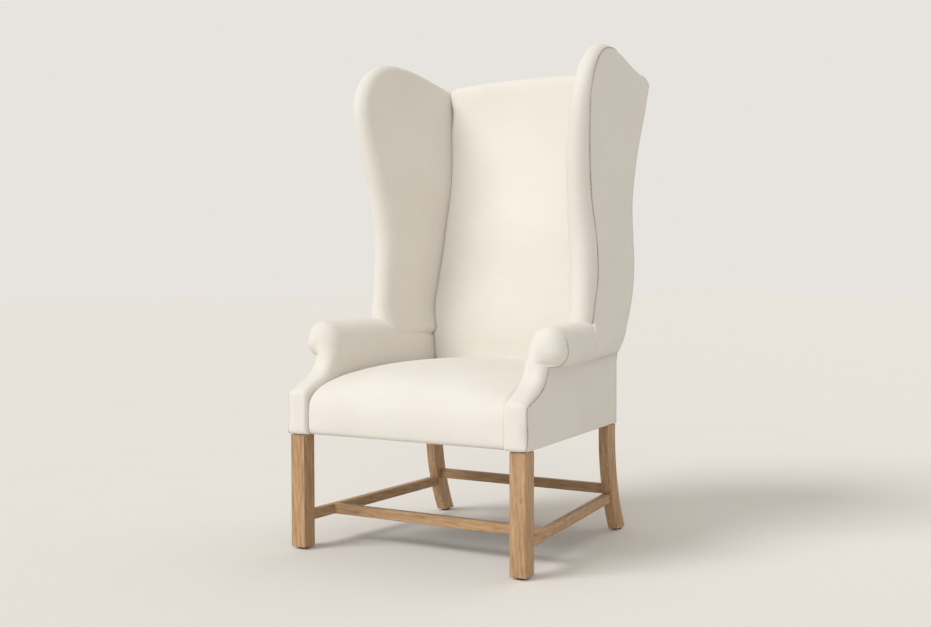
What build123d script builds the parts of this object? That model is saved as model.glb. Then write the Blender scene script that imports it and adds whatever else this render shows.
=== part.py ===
"""Wing armchair: oak base, hardwood frame, springs, foam and a tight linen cover.

Millimetres. +Z is up, the chair faces -Y, and +X is the sitter's left. The origin is on the floor, under
the middle of the chair's box. Depths are measured back from the front face of the upholstery.
"""
import os
from math import atan, cos, radians, sin, sqrt, tan

from build123d import *

# Body
LEG_HEIGHT = 300.0          # floor to the bottom edge of the upholstery
HALF_FRONT = 350.0          # half width over the outside panels at the front
HALF_REAR = 295.0           # half width over the outside panels at the rear of the seat
BODY_DEPTH = 626.0          # front face to the outside back, at seat height
INNER_FRONT = 290.0         # half width between the arms at the front
INNER_REAR = 252.0          # half width between the arms where they meet the back
BACK_LEAN = 10.75           # lean of the back, degrees
LEAN_RISE = 170.0           # the back starts to lean this far above the bottom edge
COVER = 1.5                 # linen with its lining
FIT = 0.3                   # gap between soft pieces that lie together
JOINT_FIT = 0.1             # gap round a wooden end in its housing

# Oak base
FRONT_LEG = 42.5            # square section
LEG_SETBACK = 4.4           # legs stand in from the upholstery by this much
LEG_REBATE = 8.0            # front legs step in above the upholstery line
FOOT_CHAMFER = 3.0
REAR_LEG_WIDTH = 27.0
REAR_LEG_DEPTH = 49.0
REAR_LEG_REBATE = 5.0       # rear legs step in above the upholstery line
REAR_LEG_SET = 5.5          # rear legs stand in from the outside back by this much
REAR_LEG_RAKE = 64.5        # how far the foot kicks back
REAR_LEG_BELLY = 20.0       # bow of the raked leg off its straight line
GLIDE_HEIGHT = 5.0
GLIDE_DIAMETER = 24.0
GLIDE_PIN = 4.0
GLIDE_PIN_LENGTH = 16.0
STRETCHER_HEIGHT = 26.4
STRETCHER_THICK = 19.0
STRETCHER_ARRIS = 1.2
STRETCHER_HOUSING = 8.0
SIDE_STRETCHER_SET = 17.0   # middle of a side stretcher, inside the outside panel
SIDE_STRETCHER_FRONT_TOP = 95.0
SIDE_STRETCHER_RISE = 14.0  # side stretchers rise to the rear
CROSS_STRETCHER_DEPTH = 153.5   # to the middle of the bar
REAR_STRETCHER_TOP = 131.0
REAR_STRETCHER_SET = 22.0   # behind the rear leg's front face

# Hardwood seat frame
RAIL_THICK = 25.0
RAIL_LIFT = 3.0             # rails stand above the upholstery line by this much
RAIL_HEIGHT = 79.0
SIDE_RAIL_SET = 4.0         # side rails lie this far inside the outside panel
BACK_RAIL_SET = 13.0        # back rail, behind the rear leg's front face
BLOCK_LEG = 62.0            # length of a corner block along each rail
BLOCK_HEIGHT = 40.0
SCREW_DIAMETER = 5.0
SCREW_HEAD = 10.0
SCREW_HEAD_HEIGHT = 3.0
SCREW_GRIP = 18.0           # length of a screw in the corner block
SCREW_BITE = 12.0           # length of a screw in the rail
SCREW_ALONG = 26.0          # screw from the leg, along the rail
DOWEL_DIAMETER = 10.0
DOWEL_LENGTH = 32.0
DOWEL_SPACING = 40.0

# Arms, with heights above the bottom edge of the upholstery
STEP_RISE = 108.0           # top of the plain front block of an arm
SWEEP_DEPTH = 83.0          # a point on the sweep up to the scroll
SWEEP_RISE = 146.0
NECK_DEPTH = 115.0          # the neck below the scroll
NECK_RISE = 186.5
ARM_RISE = 290.0            # top of an arm
ROLL_SET = 1.5              # centre of the roll, inside the outside panel
ROLL_FRONT = 117.0          # front of the scroll
ROLL_DOME = 26.0            # rounding of the scroll's front edge
ROLL_PLAIN_END = 372.0      # the roll narrows behind the wing from here
ROLL_REAR_RADIUS = 33.0
ROLL_REAR_SET = 15.0
ROLL_REAR_LIFT = 4.0        # the underside rises to the rear
FACING_GAP = 2.0            # between an arm front and the seat
FACING_FOAM = 9.0
ARM_PAD = 16.0              # inside arm foam
ARM_PAD_RISE = 95.0         # bottom of that foam
STUMP_SET = 9.0             # stump, inside the outside panel
STUMP_THICK = 32.0
STUMP_FOOT = 64.0           # length of the stump along the seat rail
STUMP_HEAD = 45.0           # length of the stump under the arm rail
ARM_RAIL_WIDTH = 30.0
ARM_RAIL_HEIGHT = 30.0
ARM_RAIL_RISE = 215.0       # bottom of the arm rail

# Wings
WING_BASE_DROP = 30.0       # line about which a wing tips outwards, below the arm's top
WING_BASE_SET = 15.0        # middle of the wing, inside the outside panel, on that line
WING_TIP_OUT = 2.74         # outward tip of a wing, degrees
WING_THICK = 64.0
WING_ROUND = 0.45           # rounding of the wing's edge as a share of its thickness
WING_FRONT = 291.0          # furthest forward
WING_FRONT_DROP = 117.0     # that point's height, below the top corner of the back
WING_CURVE = 162.0          # radius of the curve over the front of the wing
WING_FLARE = 12.0           # the front edge slopes back this far from upright, degrees
WING_BROW_RADIUS = 500.0
WING_HOLLOW_RISE = 293.7    # top of the hollow in the front edge, above the arm
WING_HOLLOW_RADIUS = 665.0
WING_FALL = 12.5            # slope of the top edge, degrees
WING_FALL_RADIUS = 693.0
WING_POST_THICK = 28.0
WING_POST_SET = 44.0        # post behind the wing's front edge
WING_POST_WIDTH = 40.0

# Back
POST_WIDTH = 27.0
POST_DEPTH = 44.0
POST_SET = 7.0              # back posts stand this far inside the outside back
POST_DROP = 30.0            # post tops, below the top corner of the back
CREST_HEIGHT = 60.0
BACK_RAIL_THICK = 25.0
LOWER_RAIL_HEIGHT = 50.0
WEB_WIDTH = 50.0
WEB_THICK = 2.5
WEB_COUNT = 4
WEB_SPACING = 110.0
BACK_CLEAR = 4.0            # inside back above the seat
BACK_SIDE_TOP = 1266.0      # top corner of the inside back
BACK_ARCH = 16.0            # rise of the back's top edge at the middle
BACK_EDGE = 23.0            # foam thickness at the side seams
BACK_CROWN = 25.0           # extra thickness in the middle
BACK_FOOT_CROWN = 12.0      # and at the bottom
BACK_HEAD_CROWN = 14.0      # and at the top
BACK_SHOULDER = 275.0       # half width of the outside back's raised top
BACK_ROUND = 18.0           # rounding of the top front edge

# Seat
SPRING_WIRE = 3.8
SPRING_COUNT = 5
SPRING_WAVES = 11
SPRING_SWING = 20.0         # half width of the zigzag
SPRING_BEND = 9.0
SPRING_SPACING = 96.0
CLIP_LENGTH = 22.0
CLIP_WIDTH = 16.0
CLIP_HEIGHT = 7.0
CLIP_FIT = 0.2
DECK_THICK = 1.5
DECK_LAP = 8.0              # hessian runs this far under the inside arms
BACK_FOOT = 77.0            # from the seat's rear edge to the outside back
SEAT_MIDDLE = 270.0         # depth of the highest point
SEAT_RISE = 187.0           # that point, above the bottom edge of the upholstery
SEAT_FRONT_DROP = 15.0      # front edge below that point, before it is rolled over
SEAT_REAR_DROP = 17.0       # rear edge below it
SEAT_FALL = 27.0            # the sides lie lower than the middle
SEAT_REAR_FALL = 6.0
SEAT_ROLL = 84.0            # rolled front edge
DUST_THICK = 1.0
DUST_LAP = 10.0             # dust cover over the underside of the rails

# Worked out from the sizes above
RAIL_BOTTOM = LEG_HEIGHT + RAIL_LIFT
LEAN_START = LEG_HEIGHT + LEAN_RISE
STEP_HEIGHT = LEG_HEIGHT + STEP_RISE
SWEEP_HEIGHT = LEG_HEIGHT + SWEEP_RISE
NECK_HEIGHT = LEG_HEIGHT + NECK_RISE
ARM_TOP = LEG_HEIGHT + ARM_RISE
ARM_PAD_BOTTOM = LEG_HEIGHT + ARM_PAD_RISE
ARM_RAIL_BOTTOM = LEG_HEIGHT + ARM_RAIL_RISE
WING_BASE = ARM_TOP - WING_BASE_DROP
WING_FRONT_HEIGHT = BACK_SIDE_TOP - WING_FRONT_DROP
WING_BROW_FOOT = WING_FRONT_HEIGHT - WING_BROW_RADIUS * sin(radians(WING_FLARE))
WING_STRAIGHT = (WING_BROW_FOOT - ARM_TOP - WING_HOLLOW_RISE) / cos(radians(WING_FLARE))
POST_TOP = BACK_SIDE_TOP - POST_DROP
SEAT_DEPTH = BODY_DEPTH - BACK_FOOT
SEAT_TOP = LEG_HEIGHT + SEAT_RISE
SEAT_FRONT_TOP = SEAT_TOP - SEAT_FRONT_DROP
SEAT_REAR_TOP = SEAT_TOP - SEAT_REAR_DROP
RAIL_TOP = RAIL_BOTTOM + RAIL_HEIGHT
LEAN = tan(radians(BACK_LEAN))
BACK_TOP = BACK_SIDE_TOP + BACK_ARCH
FRONT_Y = -(BODY_DEPTH + (BACK_TOP - LEAN_START) * LEAN) / 2
SIDE_SLOPE = (HALF_FRONT - HALF_REAR) / BODY_DEPTH
SIDE_TURN = atan(SIDE_SLOPE)
INNER_SLOPE = (INNER_FRONT - INNER_REAR) / SEAT_DEPTH
LEG_OUTER = HALF_FRONT - LEG_SETBACK
LEG_INNER = LEG_OUTER - FRONT_LEG
LEG_BACK = LEG_SETBACK + FRONT_LEG
LEG_POST = FRONT_LEG - LEG_REBATE
REAR_LEG_INNER = HALF_REAR - REAR_LEG_WIDTH
REAR_LEG_FRONT = BODY_DEPTH - REAR_LEG_SET - REAR_LEG_DEPTH
POST_OUTER = HALF_REAR - REAR_LEG_REBATE
POST_INNER = POST_OUTER - POST_WIDTH
POST_FRONT = POST_SET + POST_DEPTH
FRONT_RAIL_FRONT = LEG_SETBACK + LEG_REBATE
FRONT_RAIL_BACK = FRONT_RAIL_FRONT + RAIL_THICK
BACK_RAIL_FRONT = REAR_LEG_FRONT + BACK_RAIL_SET
SIDE_RAIL_INNER = SIDE_RAIL_SET + RAIL_THICK
BLOCK_MIDDLE = RAIL_BOTTOM + RAIL_HEIGHT / 2
FACING_DEPTH = COVER + FIT + FACING_FOAM + FIT
FACING_WIDTH = HALF_FRONT - INNER_FRONT - FACING_GAP
ROLL_RADIUS = (ARM_TOP - NECK_HEIGHT) / 2 - FIT
ROLL_REAR = BODY_DEPTH + (ARM_TOP - LEAN_START) * LEAN
ARM_RAIL_TOP = ARM_RAIL_BOTTOM + ARM_RAIL_HEIGHT
WING_PEAK = WING_FRONT + WING_CURVE
WING_FOOT = ARM_RAIL_TOP
FALL_SLOPE = tan(radians(WING_FALL))
FALL_START = WING_PEAK + WING_FALL_RADIUS * sin(radians(WING_FALL))
FALL_HEIGHT = WING_FRONT_HEIGHT + WING_CURVE - WING_FALL_RADIUS * (1 - cos(radians(WING_FALL)))
FALL_RUN = BODY_DEPTH - FALL_START - LEAN_START * LEAN
WING_REAR_HEIGHT = (FALL_HEIGHT - FALL_SLOPE * FALL_RUN) / (1 + FALL_SLOPE * LEAN)
SPRING_HEIGHT = RAIL_TOP + CLIP_HEIGHT / 2
DECK_BOTTOM = RAIL_TOP + CLIP_HEIGHT
SEAT_BOTTOM = DECK_BOTTOM + DECK_THICK + FIT
BACK_BOTTOM = SEAT_REAR_TOP + BACK_CLEAR
BACK_REAR = POST_FRONT + WEB_THICK + FIT
BEYOND = BODY_DEPTH + LEG_HEIGHT   # well behind the chair, where a form is cut back

UP = Vector(0, 0, 1)
INWARD = (-1, 0, 0)
BACKWARD = Vector(-sin(SIDE_TURN), cos(SIDE_TURN), 0)
OUTWARD = Vector(cos(SIDE_TURN), sin(SIDE_TURN), 0)

os.makedirs("parts", exist_ok=True)


def at(depth):
    """Y of a depth behind the front face."""
    return FRONT_Y + depth


def along(depth):
    """Distance along the slanted side that reaches a depth."""
    return depth / cos(SIDE_TURN)


def outside_x(depth, inside=0.0):
    """X on the left outside panel, moved in by a set distance."""
    return HALF_FRONT - SIDE_SLOPE * depth - inside


def inner_x(depth):
    """X on the left arm's inside face."""
    return INNER_FRONT - INNER_SLOPE * depth


def back_depth(height, inside=0.0):
    """Depth of the outside back at a height, moved forward by a set distance."""
    return BODY_DEPTH - inside + max(0.0, height - LEAN_START) * LEAN


def front_view(depth):
    """Upright plane across the chair, drawn in X and Z, facing forward."""
    return Plane.XZ.offset(-at(depth))


def side_view(inside=0.0):
    """Upright plane along the left side, drawn in distance back and height, facing out."""
    return Plane(origin=(HALF_FRONT - inside, at(0), 0), x_dir=BACKWARD, z_dir=OUTWARD)


def wing_view():
    """Plane through the middle of the left wing, drawn in distance back and height over the wing base."""
    tip = radians(WING_TIP_OUT)
    return Plane(
        origin=(HALF_FRONT - WING_BASE_SET, at(0), WING_BASE),
        x_dir=BACKWARD,
        z_dir=OUTWARD * cos(tip) - UP * sin(tip),
    )


def lean_plane(inside=0.0):
    """Leaning plane of the outside back, moved forward by a set distance, facing the rear."""
    lean = radians(BACK_LEAN)
    return Plane(
        origin=(0, at(BODY_DEPTH - inside), LEAN_START),
        x_dir=(-1, 0, 0),
        z_dir=(0, cos(lean), -sin(lean)),
    )


def up_slope(height):
    """Distance up the leaning back that reaches a height."""
    return (height - LEAN_START) / cos(radians(BACK_LEAN))


def mirrored(part):
    """The same piece on the other side of the chair."""
    with BuildPart() as other:
        mirror(part, about=Plane.YZ)
    return other.part


def both_sides(part):
    """A left piece and its mirror image as one group."""
    with BuildPart() as pair:
        add(part)
        mirror(part, about=Plane.YZ)
    return pair.part


def keep(part, name):
    """Label one piece and write it."""
    part.label = name
    export_step(part, f"parts/{name}.step")


def keep_pair(part, name):
    """Write a left piece and its mirrored right piece."""
    keep(part, f"{name}_left")
    keep(mirrored(part), f"{name}_right")


def plan_block(points, bottom, height):
    """Upright block on a plan outline given as X and depth."""
    with BuildPart() as block:
        with BuildSketch(Plane.XY.offset(bottom)):
            with BuildLine():
                Polyline(*[(x, at(depth)) for x, depth in points], close=True)
            make_face()
        extrude(amount=height)
    return block.part


def across(points, half):
    """Block across the chair on a side outline given as depth and height."""
    with BuildPart() as block:
        with BuildSketch(Plane.YZ.offset(-half)):
            with BuildLine():
                Polyline(*[(at(depth), height) for depth, height in points], close=True)
            make_face()
        extrude(amount=2 * half)
    return block.part


def rod(x, height, front, rear, radius):
    """Round rod from one depth to another."""
    with BuildPart() as stick:
        with BuildSketch(front_view(rear)):
            with Locations((x, height)):
                Circle(radius)
        extrude(amount=rear - front)
    return stick.part


# Stretchers
def rear_leg_front(height):
    """Depth of a rear leg's front face at a height below the upholstery line."""
    share = 1 - height / LEG_HEIGHT
    bow = REAR_LEG_BELLY * 4 * share * (1 - share)
    return REAR_LEG_FRONT + REAR_LEG_RAKE * share - bow


def bar(start, end, grow=0.0):
    """Stretcher between two points on the middle of its top, grown all round by a gap."""
    run = end - start
    section = Plane(origin=start, x_dir=UP.cross(run), z_dir=run)
    with BuildPart() as stick:
        with BuildSketch(section.offset(-grow)):
            with Locations((0, -STRETCHER_HEIGHT / 2)):
                Rectangle(STRETCHER_THICK + 2 * grow, STRETCHER_HEIGHT + 2 * grow)
        extrude(amount=run.length + 2 * grow)
        if grow == 0:
            chamfer(stick.edges().filter_by(Axis(start, run)), STRETCHER_ARRIS)
    return stick.part


def side_point(depth):
    """Point on the middle of the left side stretcher's top."""
    rear = rear_leg_front(SIDE_STRETCHER_FRONT_TOP + SIDE_STRETCHER_RISE)
    rise = SIDE_STRETCHER_RISE * (depth - LEG_BACK) / (rear - LEG_BACK)
    return Vector(outside_x(depth, SIDE_STRETCHER_SET), at(depth), SIDE_STRETCHER_FRONT_TOP + rise)


side_rear = rear_leg_front(SIDE_STRETCHER_FRONT_TOP + SIDE_STRETCHER_RISE) + STRETCHER_HOUSING
side_ends = (side_point(LEG_BACK - STRETCHER_HOUSING), side_point(side_rear))
cross_end = side_point(CROSS_STRETCHER_DEPTH) - Vector(STRETCHER_THICK / 2 - STRETCHER_HOUSING, 0, 0)
cross_ends = (Vector(-cross_end.X, cross_end.Y, cross_end.Z), cross_end)
rear_end = Vector(
    REAR_LEG_INNER + STRETCHER_HOUSING,
    at(rear_leg_front(REAR_STRETCHER_TOP) + REAR_STRETCHER_SET + STRETCHER_THICK / 2),
    REAR_STRETCHER_TOP,
)
rear_ends = (Vector(-rear_end.X, rear_end.Y, rear_end.Z), rear_end)

with BuildPart() as side_stretcher:
    add(bar(*side_ends))
    add(bar(*cross_ends, JOINT_FIT), mode=Mode.SUBTRACT)
keep_pair(side_stretcher.part, "side_stretcher")

with BuildPart() as cross_stretcher:
    add(bar(*cross_ends))
keep(cross_stretcher.part, "cross_stretcher")

with BuildPart() as rear_stretcher:
    add(bar(*rear_ends))
keep(rear_stretcher.part, "rear_stretcher")


# Glides
front_foot = (LEG_INNER + FRONT_LEG / 2, LEG_SETBACK + FRONT_LEG / 2)
rear_foot = (REAR_LEG_INNER + REAR_LEG_WIDTH / 2, REAR_LEG_FRONT + REAR_LEG_RAKE + REAR_LEG_DEPTH / 2)


def foot_disc(foot, bottom, radius, height):
    """Upright cylinder under one foot."""
    with BuildPart() as disc:
        with BuildSketch(Plane.XY.offset(bottom)):
            with Locations((foot[0], at(foot[1]))):
                Circle(radius)
        extrude(amount=height)
    return disc.part


with BuildPart() as glide_pair:
    for foot in (front_foot, rear_foot):
        add(foot_disc(foot, 0, GLIDE_DIAMETER / 2, GLIDE_HEIGHT))
        add(foot_disc(foot, GLIDE_HEIGHT, GLIDE_PIN / 2, GLIDE_PIN_LENGTH))
keep(both_sides(glide_pair.part), "glides")


def pin_hole(foot):
    """Hole for a glide's pin."""
    return foot_disc(foot, GLIDE_HEIGHT, GLIDE_PIN / 2 + JOINT_FIT, GLIDE_PIN_LENGTH + JOINT_FIT)


# Dowels and screws of the seat frame
front_dowel = (LEG_INNER, FRONT_RAIL_FRONT + RAIL_THICK / 2)
rear_dowel = (REAR_LEG_INNER, BACK_RAIL_FRONT + RAIL_THICK / 2)


def dowel_set(place, grow=0.0):
    """Two dowels across one joint of the left side, grown by a gap."""
    middle, depth = place
    with BuildPart() as pegs:
        with BuildSketch(Plane.YZ.offset(middle - DOWEL_LENGTH / 2 - grow)):
            for step in (-DOWEL_SPACING / 2, DOWEL_SPACING / 2):
                with Locations((at(depth), BLOCK_MIDDLE + step)):
                    Circle(DOWEL_DIAMETER / 2 + grow)
        extrude(amount=DOWEL_LENGTH + 2 * grow)
    return pegs.part


def front_screw(grow=0.0):
    """Screw through the left front corner block into the front rail."""
    x = LEG_INNER - SCREW_ALONG
    under_head = FRONT_RAIL_BACK + SCREW_GRIP
    head_end = under_head + SCREW_HEAD_HEIGHT
    if grow:
        head_end = under_head + BLOCK_LEG
    with BuildPart() as screw:
        tip = FRONT_RAIL_BACK - SCREW_BITE - grow
        add(rod(x, BLOCK_MIDDLE, tip, under_head, SCREW_DIAMETER / 2 + grow))
        add(rod(x, BLOCK_MIDDLE, under_head, head_end, SCREW_HEAD / 2 + grow))
    return screw.part


def rear_screw(grow=0.0):
    """Screw through the left rear corner block into the back rail."""
    x = REAR_LEG_INNER - SCREW_ALONG
    under_head = BACK_RAIL_FRONT - SCREW_GRIP
    head_end = under_head - SCREW_HEAD_HEIGHT
    if grow:
        head_end = under_head - BLOCK_LEG
    with BuildPart() as screw:
        tip = BACK_RAIL_FRONT + SCREW_BITE + grow
        add(rod(x, BLOCK_MIDDLE, under_head, tip, SCREW_DIAMETER / 2 + grow))
        add(rod(x, BLOCK_MIDDLE, head_end, under_head, SCREW_HEAD / 2 + grow))
    return screw.part


with BuildPart() as dowels:
    add(dowel_set(front_dowel))
    add(dowel_set(rear_dowel))
keep(both_sides(dowels.part), "frame_dowels")

with BuildPart() as screws:
    add(front_screw())
    add(rear_screw())
keep(both_sides(screws.part), "corner_screws")


# Legs
with BuildPart() as front_leg:
    with BuildSketch(Plane.XY.offset(GLIDE_HEIGHT)):
        with Locations((front_foot[0], at(front_foot[1]))):
            Rectangle(FRONT_LEG, FRONT_LEG)
    extrude(amount=LEG_HEIGHT - GLIDE_HEIGHT)
    chamfer(front_leg.edges().group_by(Axis.Z)[0], FOOT_CHAMFER)
    with BuildSketch(Plane.XY.offset(LEG_HEIGHT)):
        with Locations((LEG_INNER + LEG_POST / 2, at(LEG_BACK - LEG_POST / 2))):
            Rectangle(LEG_POST, LEG_POST)
    extrude(amount=RAIL_TOP - LEG_HEIGHT)
    add(bar(*side_ends, JOINT_FIT), mode=Mode.SUBTRACT)
    add(dowel_set(front_dowel, JOINT_FIT), mode=Mode.SUBTRACT)
    add(pin_hole(front_foot), mode=Mode.SUBTRACT)
keep_pair(front_leg.part, "front_leg")

with BuildPart() as rear_leg:
    with BuildSketch(Plane.YZ.offset(REAR_LEG_INNER)):
        with BuildLine():
            top = at(REAR_LEG_FRONT)
            foot = top + REAR_LEG_RAKE
            middle = (top + foot) / 2 - REAR_LEG_BELLY
            half_height = (LEG_HEIGHT + GLIDE_HEIGHT) / 2
            ThreePointArc((top, LEG_HEIGHT), (middle, half_height), (foot, GLIDE_HEIGHT))
            Line((foot, GLIDE_HEIGHT), (foot + REAR_LEG_DEPTH, GLIDE_HEIGHT))
            ThreePointArc(
                (foot + REAR_LEG_DEPTH, GLIDE_HEIGHT),
                (middle + REAR_LEG_DEPTH, half_height),
                (top + REAR_LEG_DEPTH, LEG_HEIGHT),
            )
            Line((top + REAR_LEG_DEPTH, LEG_HEIGHT), (top, LEG_HEIGHT))
        make_face()
    extrude(amount=REAR_LEG_WIDTH)
    with BuildSketch(Plane.YZ.offset(REAR_LEG_INNER)):
        with Locations((at(REAR_LEG_FRONT), LEG_HEIGHT)):
            Rectangle(REAR_LEG_DEPTH, RAIL_TOP - LEG_HEIGHT, align=(Align.MIN, Align.MIN))
    extrude(amount=REAR_LEG_WIDTH - REAR_LEG_REBATE)
    add(bar(*side_ends, JOINT_FIT), mode=Mode.SUBTRACT)
    add(bar(*rear_ends, JOINT_FIT), mode=Mode.SUBTRACT)
    add(dowel_set(rear_dowel, JOINT_FIT), mode=Mode.SUBTRACT)
    add(pin_hole(rear_foot), mode=Mode.SUBTRACT)
keep_pair(rear_leg.part, "rear_leg")


# Seat rails and corner blocks
with BuildPart() as front_rail:
    ends = [(-LEG_INNER, FRONT_RAIL_FRONT), (LEG_INNER, FRONT_RAIL_FRONT),
            (LEG_INNER, FRONT_RAIL_BACK), (-LEG_INNER, FRONT_RAIL_BACK)]
    add(plan_block(ends, RAIL_BOTTOM, RAIL_HEIGHT))
    add(both_sides(dowel_set(front_dowel, JOINT_FIT)), mode=Mode.SUBTRACT)
    add(both_sides(front_screw(JOINT_FIT)), mode=Mode.SUBTRACT)
keep(front_rail.part, "front_seat_rail")

with BuildPart() as side_rail:
    corners = [(outside_x(depth, inside), depth)
               for inside, depth in ((SIDE_RAIL_SET, LEG_BACK), (SIDE_RAIL_SET, REAR_LEG_FRONT),
                                     (SIDE_RAIL_INNER, REAR_LEG_FRONT), (SIDE_RAIL_INNER, LEG_BACK))]
    add(plan_block(corners, RAIL_BOTTOM, RAIL_HEIGHT))
keep_pair(side_rail.part, "side_seat_rail")

with BuildPart() as back_rail:
    rear = BACK_RAIL_FRONT + RAIL_THICK
    ends = [(-REAR_LEG_INNER, BACK_RAIL_FRONT), (REAR_LEG_INNER, BACK_RAIL_FRONT),
            (REAR_LEG_INNER, rear), (-REAR_LEG_INNER, rear)]
    add(plan_block(ends, RAIL_BOTTOM, RAIL_HEIGHT))
    add(both_sides(dowel_set(rear_dowel, JOINT_FIT)), mode=Mode.SUBTRACT)
    add(both_sides(rear_screw(JOINT_FIT)), mode=Mode.SUBTRACT)
keep(back_rail.part, "back_seat_rail")

with BuildPart() as corner_blocks:
    front_corner = [
        (LEG_INNER, FRONT_RAIL_BACK),
        (LEG_INNER, LEG_BACK),
        (outside_x(LEG_BACK, SIDE_RAIL_INNER), LEG_BACK),
        (outside_x(LEG_BACK + BLOCK_LEG, SIDE_RAIL_INNER), LEG_BACK + BLOCK_LEG),
        (LEG_INNER - BLOCK_LEG, FRONT_RAIL_BACK),
    ]
    rear_corner = [
        (REAR_LEG_INNER, BACK_RAIL_FRONT),
        (REAR_LEG_INNER, REAR_LEG_FRONT),
        (outside_x(REAR_LEG_FRONT, SIDE_RAIL_INNER), REAR_LEG_FRONT),
        (outside_x(REAR_LEG_FRONT - BLOCK_LEG, SIDE_RAIL_INNER), REAR_LEG_FRONT - BLOCK_LEG),
        (REAR_LEG_INNER - BLOCK_LEG, BACK_RAIL_FRONT),
    ]
    add(plan_block(front_corner, BLOCK_MIDDLE - BLOCK_HEIGHT / 2, BLOCK_HEIGHT))
    add(plan_block(rear_corner, BLOCK_MIDDLE - BLOCK_HEIGHT / 2, BLOCK_HEIGHT))
    add(front_screw(JOINT_FIT), mode=Mode.SUBTRACT)
    add(rear_screw(JOINT_FIT), mode=Mode.SUBTRACT)
keep(both_sides(corner_blocks.part), "corner_blocks")


# Back posts and rails
def lean_strip(bottom, top, inside, depth):
    """Side outline of a piece that follows the lean of the back, as depth and height."""
    levels = [bottom, top]
    if bottom < LEAN_START < top:
        levels = [bottom, LEAN_START, top]
    rear = [(back_depth(height, inside), height) for height in levels]
    front = [(back_depth(height, inside + depth), height) for height in reversed(levels)]
    return rear + front


with BuildPart() as back_post:
    with BuildSketch(Plane.YZ.offset(POST_INNER)):
        with BuildLine():
            strip = lean_strip(RAIL_TOP, POST_TOP, POST_SET, POST_DEPTH)
            Polyline(*[(at(depth), height) for depth, height in strip], close=True)
        make_face()
    extrude(amount=POST_WIDTH)
keep_pair(back_post.part, "back_post")

with BuildPart() as crest_rail:
    rail_set = POST_FRONT - BACK_RAIL_THICK
    add(across(lean_strip(POST_TOP - CREST_HEIGHT, POST_TOP, rail_set, BACK_RAIL_THICK), POST_INNER))
keep(crest_rail.part, "crest_rail")

with BuildPart() as lower_back_rail:
    rail_top = LEAN_START + LOWER_RAIL_HEIGHT
    add(across(lean_strip(LEAN_START, rail_top, rail_set, BACK_RAIL_THICK), POST_INNER))
keep(lower_back_rail.part, "lower_back_rail")

with BuildPart() as back_webbing:
    with BuildSketch(lean_plane(POST_FRONT)):
        low = up_slope(LEAN_START)
        high = up_slope(POST_TOP - WEB_THICK)
        for index in range(WEB_COUNT):
            with Locations(((index - (WEB_COUNT - 1) / 2) * WEB_SPACING, (low + high) / 2)):
                Rectangle(WEB_WIDTH, high - low)
    extrude(amount=-WEB_THICK)
keep(back_webbing.part, "back_webbing")

with BuildPart() as post_zone:
    with BuildSketch(Plane.YZ.offset(POST_INNER - INNER_FRONT)):
        with BuildLine():
            zone = lean_strip(RAIL_TOP, POST_TOP + FIT, -BODY_DEPTH, BODY_DEPTH + POST_FRONT + FIT)
            Polyline(*[(at(depth), height) for depth, height in zone], close=True)
        make_face()
    extrude(amount=INNER_FRONT + POST_WIDTH + FIT)


# Arm frame
def arm_front(inset, bottom, back, inside=0.0, top=NECK_HEIGHT):
    """An arm from the side: plain front, sweep and neck, set in from its front face."""
    shift = inset / sqrt(2)
    step = (along(inset), STEP_HEIGHT - inset)
    bend = (along(SWEEP_DEPTH + shift), SWEEP_HEIGHT - shift)
    neck = (along(NECK_DEPTH + inset), top)
    with BuildSketch(side_view(inside)) as outline:
        with BuildLine():
            Line((along(inset), bottom), step)
            ThreePointArc(step, bend, neck)
            Polyline(neck, (along(back), top), (along(back), bottom), (along(inset), bottom))
        make_face()
    return outline.sketch


with BuildPart() as arm_rail:
    with BuildSketch(side_view()):
        with Locations((along(NECK_DEPTH + FACING_DEPTH), ARM_RAIL_BOTTOM)):
            Rectangle(BODY_DEPTH, ARM_RAIL_HEIGHT, align=(Align.MIN, Align.MIN))
    extrude(amount=ARM_RAIL_WIDTH, dir=INWARD)
    split(bisect_by=lean_plane(POST_FRONT), keep=Keep.BOTTOM)
keep_pair(arm_rail.part, "arm_rail")

with BuildPart() as arm_stump:
    head = NECK_DEPTH + FACING_DEPTH
    extrude(arm_front(FACING_DEPTH, RAIL_TOP, head + STUMP_HEAD, STUMP_SET), amount=STUMP_THICK, dir=INWARD)
    with BuildSketch(side_view(STUMP_SET)):
        with Locations((along(head), NECK_HEIGHT)):
            Rectangle(STUMP_HEAD, ARM_RAIL_BOTTOM - NECK_HEIGHT, align=(Align.MIN, Align.MIN))
    extrude(amount=STUMP_THICK, dir=INWARD)
    with BuildSketch(side_view(STUMP_SET)):
        with BuildLine():
            heel = (along(head) + STUMP_HEAD, ARM_RAIL_BOTTOM)
            Polyline(heel, (along(BEYOND), ARM_RAIL_BOTTOM), (along(BEYOND), RAIL_TOP),
                     (along(FACING_DEPTH) + STUMP_FOOT, RAIL_TOP), close=True)
        make_face()
    extrude(amount=STUMP_THICK, dir=INWARD, mode=Mode.SUBTRACT)
keep_pair(arm_stump.part, "arm_stump")


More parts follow.
